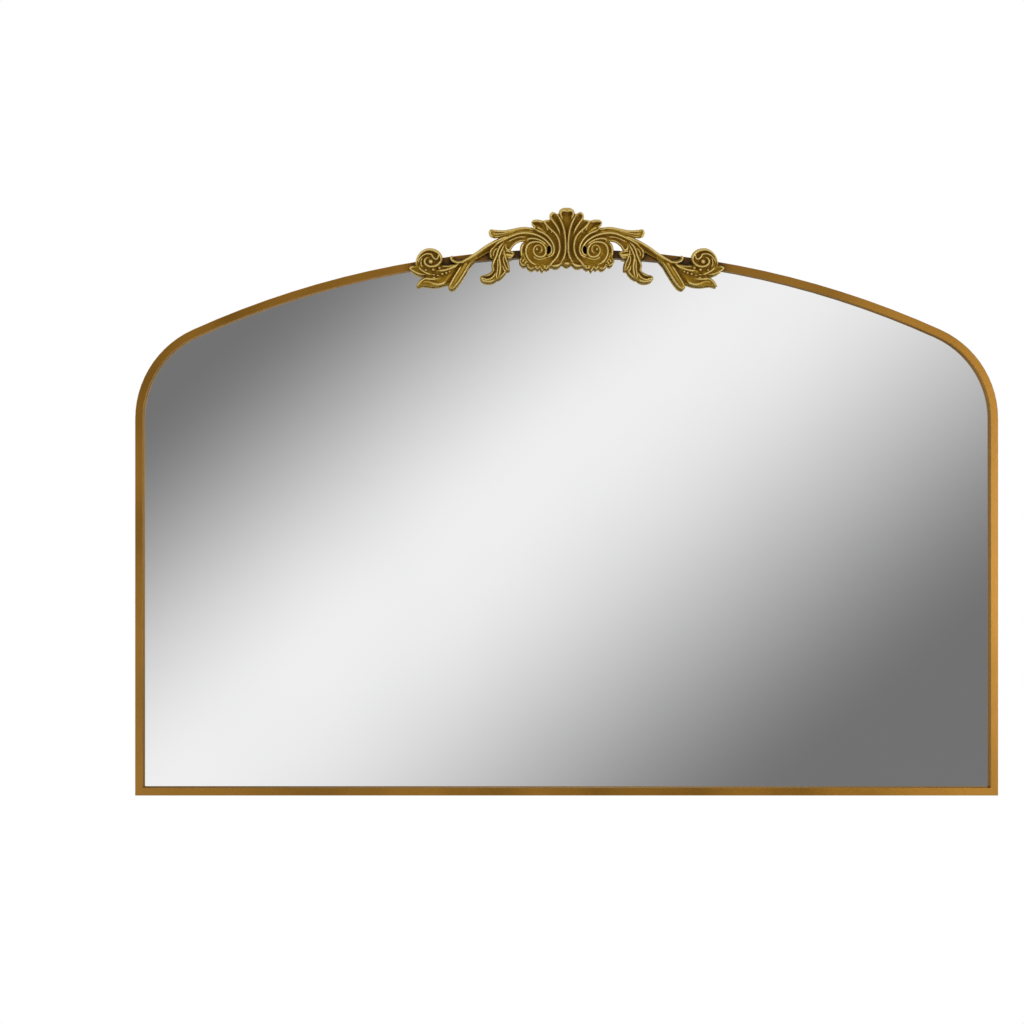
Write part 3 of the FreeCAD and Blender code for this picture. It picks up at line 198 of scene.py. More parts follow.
# Raised rims of the crest: height, half width, line (x, z)
RIMS = [
    # shell
    (13.8, 1.7, [(-8, 54), (0, 54.8), (3.4, 55.3), (6.6, 55.1), (8.7, 53.2), (8.6, 50.2), (7.4, 46.6),
                 (6, 42.6)]),
    (13.6, 1.7, [(14.2, 50.6), (11.4, 46.8), (8.4, 41.2), (5.9, 35), (4.1, 28.6), (2.9, 22), (2.1, 15),
                 (1.8, 7), (1.9, 0), (2.6, -5), (4.0, -9.6), (6.0, -13.4), (8.0, -16.6)]),
    (12.6, 1.7, [(15.4, 51.2), (18.6, 52.2), (21.6, 50.8), (22.8, 47.6), (22.0, 44.4), (19.4, 40.8),
                 (16.4, 36.8), (13.6, 32.4), (11.4, 28), (9.8, 23)]),
    (12.0, 1.7, [(25.0, 42.0), (28.2, 41.4), (31.2, 39.8), (29.4, 36.4), (26.6, 33.2), (22.6, 29.4),
                 (18.0, 25.2), (14.4, 20.8), (11.8, 15.6), (10.4, 10), (10.0, 4), (10.8, -2),
                 (13.0, -7.6), (16.4, -12.6), (20.4, -16.8), (24.2, -22.0), (25.4, -25.2)]),
    # leaf beside the shell: folded top, lower edge, soft midrib and two side lobes
    (11.8, 1.9, [(48.6, 38.8), (46.6, 40.6), (42, 41.2), (37.4, 40.6), (33.4, 39.4)]),
    (11.0, 1.5, [(48.6, 38.6), (47.8, 35.6), (45.4, 33), (45.8, 30.8), (43.6, 29.4)]),
    (9.4, 2.2, [(43.4, 32.4), (38.4, 30.4), (33.4, 27), (28, 22.6)]),
    (10.4, 1.2, [(30.6, 37.2), (28.8, 33.8), (27.6, 30.2), (25.8, 27)]),
    (10.2, 1.2, [(24.4, 30.6), (22.2, 27.4), (20.8, 24)]),
    # bands round the volute
    (12.0, 1.7, [(45.6, 30.4), (42.4, 28.2), (38.4, 26.2), (34.2, 24.6), (30.0, 22), (25.8, 18.2),
                 (22.0, 13.2), (19.2, 7.8), (18.0, 2.2), (18.6, -3.0), (21.4, -7.4), (27.4, -10)]),
    (9.4, 1.5, [(27.4, -10), (34.0, -12), (39.6, -12.6), (44.6, -10.8), (47.6, -7.6)]),
    (11.6, 1.9, [(104, 4.4), (99, 8.8), (93.0, 12.6), (86, 16.2), (78.6, 19.6), (71, 22.6), (63.6, 24.2),
                 (55, 24.2), (46.6, 22.6), (38.8, 19.8), (32.2, 15.8), (27.0, 11.2), (23.4, 6.6),
                 (21.6, 2), (21.9, -2.6), (24.2, -6.0), (28.0, -7.4)]),
    (11.2, 1.7, [(54.0, 12.4), (55.6, 14.2), (53.4, 16.0), (48.6, 16.6), (42.4, 15.8), (36.2, 13.4),
                 (31, 9.8), (27.8, 6.4)]),
    (9.4, 1.5, [(98, 13), (88, 17.6), (78, 22.2), (69, 25.4), (60, 27.0), (51, 26.4), (44, 25)]),
    (9.2, 1.5, [(84, 11.6), (78, 14.6), (71.4, 17.4), (64.6, 18.8), (58, 19)]),
    # ridge beside the open space, with its curl
    (11.0, 1.7, [(59.4, 13.9), (65, 13.1), (70.6, 11), (74.8, 7.8), (77.6, 4.8), (79.2, 2), (81.4, 0.4),
                 (84.2, 1.2), (86.0, 4.2), (85.6, 8.2)]),
    # trumpet: top edge, middle and lower lines, flared end
    (10.6, 1.5, [(107.2, 27.4), (103, 27.4), (97, 26.6), (90, 26.4), (83, 27.1), (76, 28.6), (69, 30.1),
                 (62, 31.1), (55, 30.8), (48.5, 29.6)]),
    (10.2, 1.5, [(106, 23.4), (98, 22.8), (90, 23.6), (80, 25.8), (70, 28)]),
    (9.4, 1.4, [(103.4, 18.6), (97, 19.2), (90, 20.8), (82, 23.2), (72, 26)]),
    (11.4, 2.2, [(107, 27.6), (108, 24.2), (106.6, 20.6), (103.8, 18.4)]),
    # volute: ring and soft inner turn, outer band
    (11.0, 1.7, [(44, -20.0), (49.4, -17.4), (54.0, -12.6), (57.0, -6.4), (57.6, 0), (56.0, 5.8),
                 (52.2, 9.8), (47.2, 11.6), (41.6, 11.9), (36, 10.2), (31.8, 6.2), (29.6, 0.8),
                 (30, -4.8), (33, -8.4), (37.8, -9.4), (42.4, -8), (45.6, -5), (46.8, -0.8)]),
    (8.8, 1.8, [(42.4, -8), (45.6, -5), (46.8, -0.8), (46, 3.4), (43, 6.8), (38.8, 7.4), (35.6, 4.8),
                (35, 1), (36.6, -2.4), (39.6, -4)]),
    (10.2, 2.2, [(59.6, 10.6), (62.6, 6.6), (64.0, 1.4), (64.0, -4.4), (63.2, -9)]),
    (8.8, 1.3, [(53.6, -18.4), (57.6, -13.6), (60.4, -8), (61, -2)]),
    # frill: edge of each lobe, then the folds between them
    (10.0, 1.2, [(63.4, -10.4), (66, -13.8), (65.4, -17.8), (62.4, -20.8), (58, -21)]),
    (10.0, 1.2, [(56.4, -20.8), (54, -24.2), (49.4, -25.8), (45.6, -24.2)]),
    (9.8, 1.1, [(44.2, -24.2), (41.6, -26), (38.6, -24.4)]),
    (9.8, 1.1, [(37.8, -24.8), (36, -26.8), (34.6, -28.6), (33.2, -26.6)]),
    (9.8, 1.1, [(32, -24.6), (28.8, -25.6), (26.4, -24.2)]),
    (9.4, 1.1, [(62.6, -17.4), (61.4, -14.4), (59.4, -12)]),
    (9.4, 1.1, [(59.2, -20), (58.2, -17), (56.2, -14.8)]),
    (9.0, 1.1, [(55.8, -21), (54, -19.4)]),
    (9.4, 1.1, [(44.4, -24.4), (42.8, -21.6)]),
    (9.2, 1.1, [(38.2, -24.8), (37.6, -22.2)]),
    (9.4, 1.1, [(32.4, -25), (30.2, -20.8)]),
    (9.4, 1.1, [(27.4, -24.4), (26.4, -20.6)]),
    # arm and stem
    (11.4, 2.1, [(80, 20.4), (88, 17.6), (96.2, 14.2), (103.4, 10.8), (110.4, 6.8), (116.4, 3),
                 (121.4, -0.6), (127.4, -5), (134.3, -9.2), (140.6, -12.9), (146, -15.6), (150, -18)]),
    (11.0, 1.6, [(147, -19.6), (150.8, -25), (155.2, -32), (159.4, -39), (163.2, -46), (166.2, -51.6),
                 (165.6, -54.6)]),
    (10.6, 1.6, [(136, -17.4), (140.4, -25), (145, -33), (149.4, -40), (154.4, -47), (159.8, -53),
                 (163.4, -55.4)]),
    # hooked leaf
    (11.8, 1.5, [(143, -15.6), (149, -17.2), (155.4, -17.4), (160.6, -15.6), (163.4, -12.4),
                 (163.2, -9.4), (161.6, -8.8)]),
    # hanging leaf
    (11.6, 1.8, [(88, 12), (93.2, 6.4), (96.6, 0), (98.6, -7), (102, -14.6), (104.6, -21.6), (103.6, -28),
                 (106.4, -32.6), (111.4, -35.2), (117, -36.4)]),
    (11.4, 1.9, [(87.4, 9), (90.8, 2), (93.4, -4), (95.4, -10), (94.4, -16), (93.6, -24), (94.6, -32),
                 (96.4, -38)]),
    (10.6, 1.6, [(97.4, -9.4), (97.2, -18), (97.6, -28), (99.2, -36), (97.8, -40)]),
    (10.6, 1.6, [(88, 3), (88.4, -4), (86.2, -11), (83.2, -18), (81.8, -24), (82, -27.6)]),
    (9.8, 1.4, [(89.4, -6), (89.4, -14), (87.2, -21), (84.8, -26.2), (82.6, -28)]),
    (10.0, 1.4, [(90.6, -20), (89.2, -26), (87, -30.2), (90.6, -34.8), (95, -39.4)]),
    (10.6, 1.6, [(96, 9), (102, 5), (106.4, 0.8), (107.8, -4.4), (106.8, -9), (105.4, -11.4)]),
    (9.6, 1.3, [(96.4, 4), (101, 0.4), (103.4, -4.6), (103, -9.6)]),
    # curled lobe
    (9.4, 1.8, [(120.8, -39.4), (118.4, -42.2), (113, -43.6), (106.4, -43.4), (101.6, -41.2)]),
    (9.8, 1.4, [(117, -36.6), (120.2, -37.8), (119.6, -40), (116.4, -39.6), (113.4, -41.4), (107.4, -40),
                (102.4, -35.6), (99.6, -29)]),
    # bud
    (10.6, 1.4, [(87.4, -0.8), (82.6, -1.6), (78.2, -2.4), (74.6, -4.4)]),
    (10.2, 1.6, [(85, -10.4), (80.4, -10.6), (76.4, -8), (74.4, -5.2)]),
    # rosette
    (12.4, 1.9, [(212.6, -21.6), (211.2, -14.6), (208.2, -7.8), (203.6, -2.8), (197.8, 0.2), (191.4, 0.6),
                 (185.4, -1), (180.6, -4.4), (177.6, -9), (176.8, -13.8), (179, -17.8), (183, -21),
                 (188.6, -22.8), (194.4, -22.2), (198.8, -19.4), (200.2, -15.6), (198.6, -11.6),
                 (195.4, -9.6)]),
    (11.4, 1.5, [(209.2, -19), (208, -13.6), (205.4, -9.8), (201.4, -6.4), (196.4, -4.8), (192, -5.6),
                 (190, -8)]),
    (11.4, 1.5, [(192.6, -2.8), (190.4, -6), (188.2, -10), (185, -12.4), (182, -11.6), (180.8, -8),
                 (181.8, -3.8)]),
    (10.6, 1.3, [(203.6, -24.4), (205.2, -18.4), (204.6, -13), (202.8, -10.4)]),
    # end leaves
    (10.8, 1.6, [(213.6, -22.8), (218.2, -23.6), (221, -25.2), (218.4, -27.8), (213, -31.2), (206, -33.8),
                 (199.6, -34.6)]),
    (9.8, 1.5, [(208.2, -22.6), (206.4, -26.2), (202, -29.6), (196, -32.6), (190.6, -34.6)]),
    (11.2, 1.7, [(211.6, -50.6), (208.2, -46), (204, -42), (199.4, -39.8), (193.6, -40.4), (187.6, -40.6),
                 (181.6, -40)]),
    (8.8, 2.0, [(204.4, -46.2), (199, -43.6), (193.4, -44.2), (187.6, -46.6), (181, -48), (174.4, -46.6),
                (169.6, -43.6)]),
    (10.4, 2.2, [(182, -28.6), (174, -28.2), (166.6, -26), (159.4, -23), (152, -20)]),
    (9.4, 1.4, [(177.4, -21.8), (170, -22.8), (162, -21.8), (154, -19.8), (147, -18)]),
]

# Carved grooves of the crest: depth, half width, line (x, z)
GROOVES = [
    (3.4, 3.2, [(149.4, -20.6), (155, -28), (161.6, -37.4), (167.8, -47)]),
    (1.6, 1.2, [(183, -25.6), (175, -26), (166, -24.8), (157, -21.8)]),
    (1.3, 1.2, [(47, 38.2), (43, 37.8), (38.6, 36.2), (35.4, 33.4)]),
    (2.2, 1.0, [(117, -37.9), (111.6, -37.8), (106.6, -35.2), (102.6, -30)]),
    (2.0, 2.2, [(100, 6), (107, 2), (113, -1.6), (118.5, -5.2), (123.5, -8.8)]),
]

# Deep pits of the crest, painted near black as shade: level, closed outline (x, z)
PITS = [
    (1.4, [(22.4, 2.6), (23.6, 5.7), (25.7, 6.1), (27.6, 3.7), (28, 0), (28.1, -3.2), (27, -5.2),
           (24.3, -4.4), (22.6, -1.5)]),
]

# Round bosses of the crest: x, z, radius along X, radius along Z, height
BOSSES = [
    (0, -18.2, 5.0, 2.7, 10.8), (42.2, 1.6, 2.3, 3.0, 10.8), (191.6, -16, 4.3, 4.2, 13),
    (188, -27.2, 3.1, 2.7, 11.8), (179.4, -25.2, 2.7, 2.4, 11.6), (198.4, -27.8, 2.4, 2.1, 10.8),
    (175.4, -33.2, 2.5, 2.3, 11.4), (169.8, -31.8, 2.5, 2.3, 11.4), (165.2, -30.2, 2.1, 1.9, 11),
    (187.6, -34.4, 3.2, 1.6, 10.8), (181.6, -35.4, 2.6, 1.6, 10.6), (187.0, -38.2, 3.0, 1.5, 10.4),
    (162.0, -10.2, 1.9, 1.9, 11.4),
]


# Relief of the crest

def smooth_line(points, closed=False, step=LINE_STEP):
    """Catmull-Rom line through the points, with about one sample per step."""
    p = np.array(points, float)
    if closed:
        p = np.vstack([p[-1], p, p[0], p[1]])
    else:
        p = np.vstack([2 * p[0] - p[1], p, 2 * p[-1] - p[-2]])
    spans = []
    for a, b, c, d in zip(p[:-3], p[1:-2], p[2:-1], p[3:]):
        count = max(2, int(np.hypot(*(c - b)[:2]) / step))
        t = np.linspace(0, 1, count, endpoint=False)[:, None]
        cubic = (3 * b - a - 3 * c + d) * t ** 3
        spans.append(0.5 * (2 * b + (c - a) * t + (2 * a - 5 * b + 4 * c - d) * t ** 2 + cubic))
    if not closed:
        spans.append(p[-2:-1])
    return np.vstack(spans)


def tapered(line):
    """The line with a further column, 1 along its middle and TAPER at its two ends."""
    along = np.concatenate([[0], np.cumsum(np.hypot(*np.diff(line, axis=0).T))])
    reach = min(TAPER_LENGTH, TAPER_SHARE * along[-1])
    share = np.clip(np.minimum(along, along[-1] - along) / reach, 0, 1)
    return np.column_stack([line, TAPER + (1 - TAPER) * share])


def nearest(line, x, z):
    """Distance of each grid point to a line, and the line's further columns at the nearest place."""
    best = np.full(x.shape, np.inf)
    values = np.zeros((line.shape[1] - 2,) + x.shape)
    for a, b in zip(line[:-1], line[1:]):
        dx, dz = b[0] - a[0], b[1] - a[1]
        square = max(dx * dx + dz * dz, LEAST_SQUARE)
        t = np.clip(((x - a[0]) * dx + (z - a[1]) * dz) / square, 0, 1)
        d = np.hypot(x - a[0] - t * dx, z - a[1] - t * dz)
        near = d < best
        best[near] = d[near]
        for row, start, end in zip(values, a[2:], b[2:]):
            row[near] = (start + t * (end - start))[near]
    return best, values


def inside_distance(outline, x, z):
    """Distance to a closed outline, positive inside it."""
    ring = np.vstack([outline, outline[:1]])
    distance, _ = nearest(ring, x, z)
    inside = np.zeros(x.shape, bool)
    for a, b in zip(ring[:-1], ring[1:]):
        if a[1] == b[1]:
            continue
        crossing = a[0] + (z - a[1]) * (b[0] - a[0]) / (b[1] - a[1])
        inside ^= ((a[1] > z) != (b[1] > z)) & (x < crossing)
    return np.where(inside, distance, -distance)


def dome(reach, top):
    """Height of a round top, where reach is 0 in its middle and 1 at its edge; 0 beyond the edge."""
    share = np.sqrt(1 - np.clip(reach, 0, 1) ** 2)
    return np.where(reach < 1, EDGE_HEIGHT + (top - EDGE_HEIGHT) * share, 0)


class Relief:
    """Height and cover of the crest's right half on a grid; cover is positive inside the outline."""

    def __init__(self):
        self.xs = np.arange(0, HALF_SPAN + GRID / 2, GRID)
        self.zs = np.arange(LOWEST, HIGHEST + GRID / 2, GRID)
        self.x, self.z = np.meshgrid(self.xs, self.zs)
        self.height = np.zeros(self.x.shape)
        self.cover = np.full(self.x.shape, NO_COVER)
        self.pit_shade = np.zeros(self.x.shape)

    def window(self, line, reach):
        """Part of the grid within reach of a line."""
        low = line[:, :2].min(0) - reach
        high = line[:, :2].max(0) + reach
        columns = slice(*np.searchsorted(self.xs, [low[0], high[0]]))
        rows = slice(*np.searchsorted(self.zs, [low[1], high[1]]))
        return rows, columns

    def raise_to(self, part, height, cover):
        self.cover[part] = np.maximum(self.cover[part], cover)
        self.height[part] = np.maximum(self.height[part], height)

    def ground(self, level, outline):
        ring = smooth_line(outline, closed=True, step=OUTLINE_STEP)
        part = self.window(ring, GROUND_MARGIN)
        depth = inside_distance(ring, self.x[part], self.z[part])
        self.raise_to(part, np.where(depth > -MARGIN, level, 0), depth)

    def member(self, points):
        line = smooth_line(points)
        part = self.window(line, line[:, 2].max() + MARGIN)
        distance, (half, top) = nearest(line, self.x[part], self.z[part])
        self.raise_to(part, dome(distance / half, top), half - distance)

    def rim(self, top, half, points):
        line = tapered(smooth_line(points))
        part = self.window(line, SKIRTS * SKIRT)
        distance, (taper,) = nearest(line, self.x[part], self.z[part])
        width = RIM_SHARP * half * taper
        ridge = RIDGE_SHARE * np.exp(-(distance / width) ** 2)
        shape = ridge + (1 - RIDGE_SHARE) * np.exp(-(distance / SKIRT) ** 2)
        self.raise_to(part, RIM_FLOOR + (top - RIM_FLOOR) * taper * shape, half * taper - distance)

    def groove(self, depth, half, points):
        line = smooth_line(points)
        part = self.window(line, GROOVE_HALVES * half)
        distance, _ = nearest(line, self.x[part], self.z[part])
        self.height[part] -= depth * np.exp(-(distance / half) ** 2)

    def pit(self, level, outline):
        ring = smooth_line(outline, closed=True)
        part = self.window(ring, MARGIN)
        depth = inside_distance(ring, self.x[part], self.z[part])
        share = np.clip(depth / PIT_WALL, 0, 1)
        self.height[part] += share * (level - self.height[part])
        self.cover[part] = np.maximum(self.cover[part], depth)
        # painted shade: the pit's floor is made near black
        self.pit_shade[part] = np.maximum(self.pit_shade[part], share)

    def boss(self, x, z, radius_x, radius_z, top):
        part = self.window(np.array([[x, z]]), max(radius_x, radius_z) + MARGIN)
        reach = np.hypot((self.x[part] - x) / radius_x, (self.z[part] - z) / radius_z)
        self.raise_to(part, dome(reach, top), (1 - reach) * min(radius_x, radius_z))

    def depth(self):
        """Distance inside the outline; where shapes overlap, the grid's own distance to the outside."""
        outside = self.cover <= 0
        outside = np.hstack([outside[:, REACH:0:-1], outside])
        outside = np.pad(outside, ((REACH, REACH), (0, REACH)), constant_values=True)
        rows, columns = self.cover.shape
        far = np.full(self.cover.shape, REACH * GRID)
        for k in range(-REACH, REACH + 1):
            for i in range(-REACH, REACH + 1):
                hit = outside[REACH + k:REACH + k + rows, REACH + i:REACH + i + columns]
                far = np.where(hit, np.minimum(far, math.hypot(k, i) * GRID), far)
        return np.where(outside[REACH:REACH + rows, REACH:REACH + columns], self.cover,
                        np.maximum(self.cover, far - GRID))

    def mirrored(self):
        """Grid coordinates, then height, cover, depth and painted pit shade of both halves, outer edge
        rounded.
        """
        depth = self.depth()
        roll = np.clip(depth / EDGE_ROLL, 0, 1)
        height = EDGE_HEIGHT + (self.height - EDGE_HEIGHT) * (1 - (1 - roll) ** 2)
        xs = np.concatenate([-self.xs[:0:-1], self.xs])
        fields = [np.hstack([field[:, :0:-1], field]) for field in (height, self.cover, depth, self.pit_shade)]
        return xs, self.zs, *fields


def blur(field, spread):
    """The field smoothed by a bell curve of the given spread."""
    count = int(BLUR_SPREADS * spread / GRID)
    kernel = np.exp(-0.5 * (np.arange(-count, count + 1) * GRID / spread) ** 2)
    kernel /= kernel.sum()
    for axis in (0, 1):
        field = np.apply_along_axis(lambda row: np.convolve(row, kernel, "same"), axis, field)
    return field


def worn_and_shaded(height, depth, pit_shade):
    """0 in the recesses, 1 on the ridges and outer edges: wear of the gold, with painted shade in the
    recesses and painted highlight on ridges and edges; painted shade in the pits.
    """
    inside = (depth > 0).astype(float)
    level = blur(height * inside, WEAR_SHADE_SPREAD) / np.maximum(blur(inside, WEAR_SHADE_SPREAD), LEAST_SHARE)
    ridge = WEAR_SHADE_BASE + (height - level) / WEAR_SHADE_DEPTH + (height - WEAR_SHADE_LEVEL) * WEAR_SHADE_RISE
    edge = EDGE_WEAR_HIGHLIGHT * np.exp(-(depth / EDGE_ROLL) ** 2)
    return np.maximum(np.clip(ridge, WEAR_SHADE_LEAST, 1), edge) * (1 - pit_shade)


def soften(mesh, back):
    """Take the grid's fine steps out of everything in front of the flat back."""
    work = bmesh.new()
    work.from_mesh(mesh)
    front = [vertex for vertex in work.verts if vertex.co.y < back - GRID * MM]
    for _ in range(SMOOTH_ROUNDS):
        bmesh.ops.smooth_vert(work, verts=front, factor=SMOOTH_FACTOR,
                              use_axis_x=True, use_axis_y=True, use_axis_z=True)
    work.to_mesh(mesh)
    work.free()


def closed_loops(following):
    """Rings of vertices, from a table that names each vertex's follower."""
    loops = []
    waiting = set(following)
    while waiting:
        start = waiting.pop()
        loop = [start]
        while following[loop[-1]] != start:
            loop.append(following[loop[-1]])
            waiting.discard(loop[-1])
        loops.append(loop)
    return loops


def crest_mesh(xs, zs, height, cover, wear_and_shade, datum, back):
    """Closed mesh: relief in front, walls along the outline and a flat back."""
    inside = cover > 0
    points = []
    wear_and_shade_values = []

    def place(x, z, rise, value):
        """New vertex at a height over the back; its number."""
        points.append((x * MM, back - rise * MM, datum + (z - LEAN * rise) * MM))
        wear_and_shade_values.append(value)
        return len(points) - 1

    corner = np.full(inside.shape, -1)
    for k, i in np.argwhere(inside):
        corner[k, i] = place(xs[i], zs[k], height[k, i], wear_and_shade[k, i])

    crossings = {}

    def crossing(a, b):
        """Vertex where the outline cuts the grid edge between two grid points."""
        key = (min(a, b), max(a, b))
        if key not in crossings:
            (k0, i0), (k1, i1) = key
            share = np.clip(cover[k0, i0] / (cover[k0, i0] - cover[k1, i1]), *CUT_LIMITS)
            x = xs[i0] + share * (xs[i1] - xs[i0])
            z = zs[k0] + share * (zs[k1] - zs[k0])
            # paler outer edge: wear and painted highlight
            crossings[key] = place(x, z, EDGE_HEIGHT, EDGE_WEAR_HIGHLIGHT)
        return crossings[key]

    faces = []
    following = {}
    count = inside.astype(int)
    count = count[:-1, :-1] + count[1:, :-1] + count[:-1, 1:] + count[1:, 1:]
    for k, i in np.argwhere(count > 0):
        ring = [(k, i), (k, i + 1), (k + 1, i + 1), (k + 1, i)]
        face = []
        exits = []
        for a, b in zip(ring, ring[1:] + ring[:1]):
            if inside[a]:
                face.append(corner[a])
            if inside[a] != inside[b]:
                vertex = crossing(a, b)
                face.append(vertex)
                exits.append((bool(inside[a]), vertex))
        faces.append(face)
        for (leaves, start), (_, end) in zip(exits, exits[1:] + exits[:1]):
            if leaves:
                following[start] = end

    rear = []
    for loop in closed_loops(following):
        rear_loop = []
        for vertex in loop:
            x, y, z = points[vertex]
            points.append((x, back, z + LEAN * (back - y) + BACK_RISE * MM))
            # paler back: painted light against the shade in the gap before the glass
            wear_and_shade_values.append(BACK_PAINTED_LIGHT)
            rear_loop.append(len(points) - 1)
        for n in range(len(loop)):
            m = (n + 1) % len(loop)
            faces.append([loop[m], loop[n], rear_loop[n], rear_loop[m]])
        rear.append(rear_loop)
    flat = [vertex for rear_loop in rear for vertex in rear_loop]
    for triangle in tessellate_polygon([[Vector(points[v]) for v in rear_loop] for rear_loop in rear]):
        a, b, c = [Vector(points[flat[n]]) for n in triangle]
        order = triangle if (b - a).cross(c - a).y > 0 else triangle[::-1]
        faces.append([flat[n] for n in order])

    mesh = bpy.data.meshes.new("crest_relief")
    mesh.from_pydata(points, [], faces)
    # tone of the relief: wear, with painted shade in recesses and pits, painted highlight on ridges and
    # edges, and painted light on the back
    mesh.attributes.new("wear_and_shade", "FLOAT", "POINT").data.foreach_set("value", np.array(wear_and_shade_values, np.float32))
    soften(mesh, back)
    mesh.shade_smooth()
    mesh.set_sharp_from_angle(angle=math.radians(SHARP_ANGLE))
    mesh.update()
    return mesh


def make_crest():
    """The whole crest as one piece, in place on the rim."""
    relief = Relief()
    for level, outline in GROUNDS:
        relief.ground(level, outline)
    for points in MEMBERS:
        relief.member(points)
    for top, half, points in RIMS:
        relief.rim(top, half, points)
    for boss in BOSSES:
        relief.boss(*boss)
    for groove in GROOVES:
        relief.groove(*groove)
    for pit in PITS:
        relief.pit(*pit)
    xs, zs, height, cover, depth, pit_shade = relief.mirrored()
    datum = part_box("arch_rail")[1].z - CREST_DROP * MM
    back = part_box("crest")[1].y
    mesh = crest_mesh(xs, zs, height, cover, worn_and_shaded(height, depth, pit_shade), datum, back)
    crest = bpy.data.objects.new("crest_relief", mesh)
    bpy.context.scene.collection.objects.link(crest)
    return crest


# Materials

# Usual range of a noise texture
NOISE_LOW = 0.3
NOISE_HIGH = 0.7

# Sheen that both golds share
GOLD_TINT = (1.0, 0.8, 0.42, 1)
GOLD_SPECULAR = 0.25

# Painted shade on the rim round the crest, darkened by occlusion: its reach, then where it ends by
# openness, width and height
SHADE_REACH = 0.03
SHADE_OPEN = (0.45, 0.97)
SHADE_WIDTH = (0.205, 0.235)
SHADE_HEIGHT = (0.10, 0.14)

# Unevenness of the roughness of soft materials
ROUGH_SPREAD = 0.08


class Shader:
    """A node material with a few helpers; lengths in texture scales are per metre."""

    def __init__(self, name):
        self.material = bpy.data.materials.new(name)
        self.material.use_nodes = True
        self.nodes = self.material.node_tree.nodes
        self.links = self.material.node_tree.links
        self.surface = self.nodes["Principled BSDF"]
        self.place = self.nodes.new("ShaderNodeTexCoord").outputs["Object"]

    def set(self, **values):
        for name, value in values.items():
            self.surface.inputs[name.replace("_", " ")].default_value = value
        return self

    def link(self, output, name):
        self.links.new(output, self.surface.inputs[name])

    def noise(self, scale, detail=3.0, stretch=(1, 1, 1)):
        mapping = self.nodes.new("ShaderNodeMapping")
        mapping.inputs["Scale"].default_value = stretch
        self.links.new(self.place, mapping.inputs["Vector"])
        texture = self.nodes.new("ShaderNodeTexNoise")
        texture.inputs["Scale"].default_value = scale
        texture.inputs["Detail"].default_value = detail
        self.links.new(mapping.outputs["Vector"], texture.inputs["Vector"])
        return texture.outputs["Fac"]

    def cells(self, scale):
        texture = self.nodes.new("ShaderNodeTexVoronoi")
        texture.inputs["Scale"].default_value = scale
        self.links.new(self.place, texture.inputs["Vector"])
        return texture.outputs["Distance"]

    def attribute(self, name):
        node = self.nodes.new("ShaderNodeAttribute")
        node.attribute_name = name
        return node.outputs["Fac"]

    def ramp(self, value, stops):
        node = self.nodes.new("ShaderNodeValToRGB")
        elements = node.color_ramp.elements
        while len(elements) < len(stops):
            elements.new(0.5)
        for element, (position, color) in zip(elements, stops):
            element.position = position
            element.color = (*color, 1)
        self.links.new(value, node.inputs["Fac"])
        return node.outputs["Color"]

    def span(self, value, low, high, start=NOISE_LOW, end=NOISE_HIGH):
        """The value, carried from the range start to end over to the range low to high."""
        node = self.nodes.new("ShaderNodeMapRange")
        for name, number in zip(("From Min", "From Max", "To Min", "To Max"), (start, end, low, high)):
            node.inputs[name].default_value = number
        self.links.new(value, node.inputs["Value"])
        return node.outputs["Result"]

    def combine(self, operation, *values):
        """Result of a math node; each value is another node's output or a number."""
        node = self.nodes.new("ShaderNodeMath")
        node.operation = operation
        for entry, value in zip(node.inputs, values):
            if isinstance(value, bpy.types.NodeSocket):
                self.links.new(value, entry)
            else:
                entry.default_value = value
        return node.outputs["Value"]

    def sum(self, first, second, share):
        """first + share * second"""
        return self.combine("MULTIPLY_ADD", second, share, first)

    def larger(self, first, second):
        return self.combine("MAXIMUM", first, second)

    def under_crest(self):
        """0 close to the crest, where painted shade darkens the rim, 1 in the open, past its ends and below
        the arch.
        """
        node = self.nodes.new("ShaderNodeAmbientOcclusion")
        node.inputs["Distance"].default_value = SHADE_REACH
        painted_shade = self.span(node.outputs["AO"], 0.0, 1.0, *SHADE_OPEN)
        apart = self.nodes.new("ShaderNodeSeparateXYZ")
        self.links.new(self.place, apart.inputs["Vector"])
        side = self.combine("ABSOLUTE", apart.outputs["X"])
        beyond = self.span(side, 0.0, 1.0, *SHADE_WIDTH)
        below = self.span(apart.outputs["Z"], 1.0, 0.0, *SHADE_HEIGHT)
        return self.larger(self.larger(painted_shade, beyond), below)

    def bump(self, height, distance):
        node = self.nodes.new("ShaderNodeBump")
        node.inputs["Distance"].default_value = distance
        node.inputs["Strength"].default_value = 1.0
        self.links.new(height, node.inputs["Height"])
        self.link(node.outputs["Normal"], "Normal")


def rim_gold():
    s = Shader("rim_gold").set(Metallic=0.85, Coat_Weight=0.3, Coat_Roughness=0.3)
    s.set(Specular_IOR_Level=GOLD_SPECULAR, Specular_Tint=GOLD_TINT)
    broad = s.noise(7, 2)
    grain = s.noise(1400, 2)
    mixed = s.sum(broad, grain, 0.35)
    # painted shade: the rim's colour turns near black close to the crest
    tone_with_shade = s.combine("MULTIPLY", mixed, s.under_crest())
    stops = [(0.0, (0.012, 0.005, 0.001)), (0.3, (0.105, 0.044, 0.005)), (0.5, (0.237, 0.108, 0.008)),
             (0.8, (0.313, 0.147, 0.015))]
    s.link(s.ramp(tone_with_shade, stops), "Base Color")
    s.link(s.span(mixed, 0.36, 0.48, 0.45, 0.85), "Roughness")
    s.bump(grain, 0.00003)
    return s.material


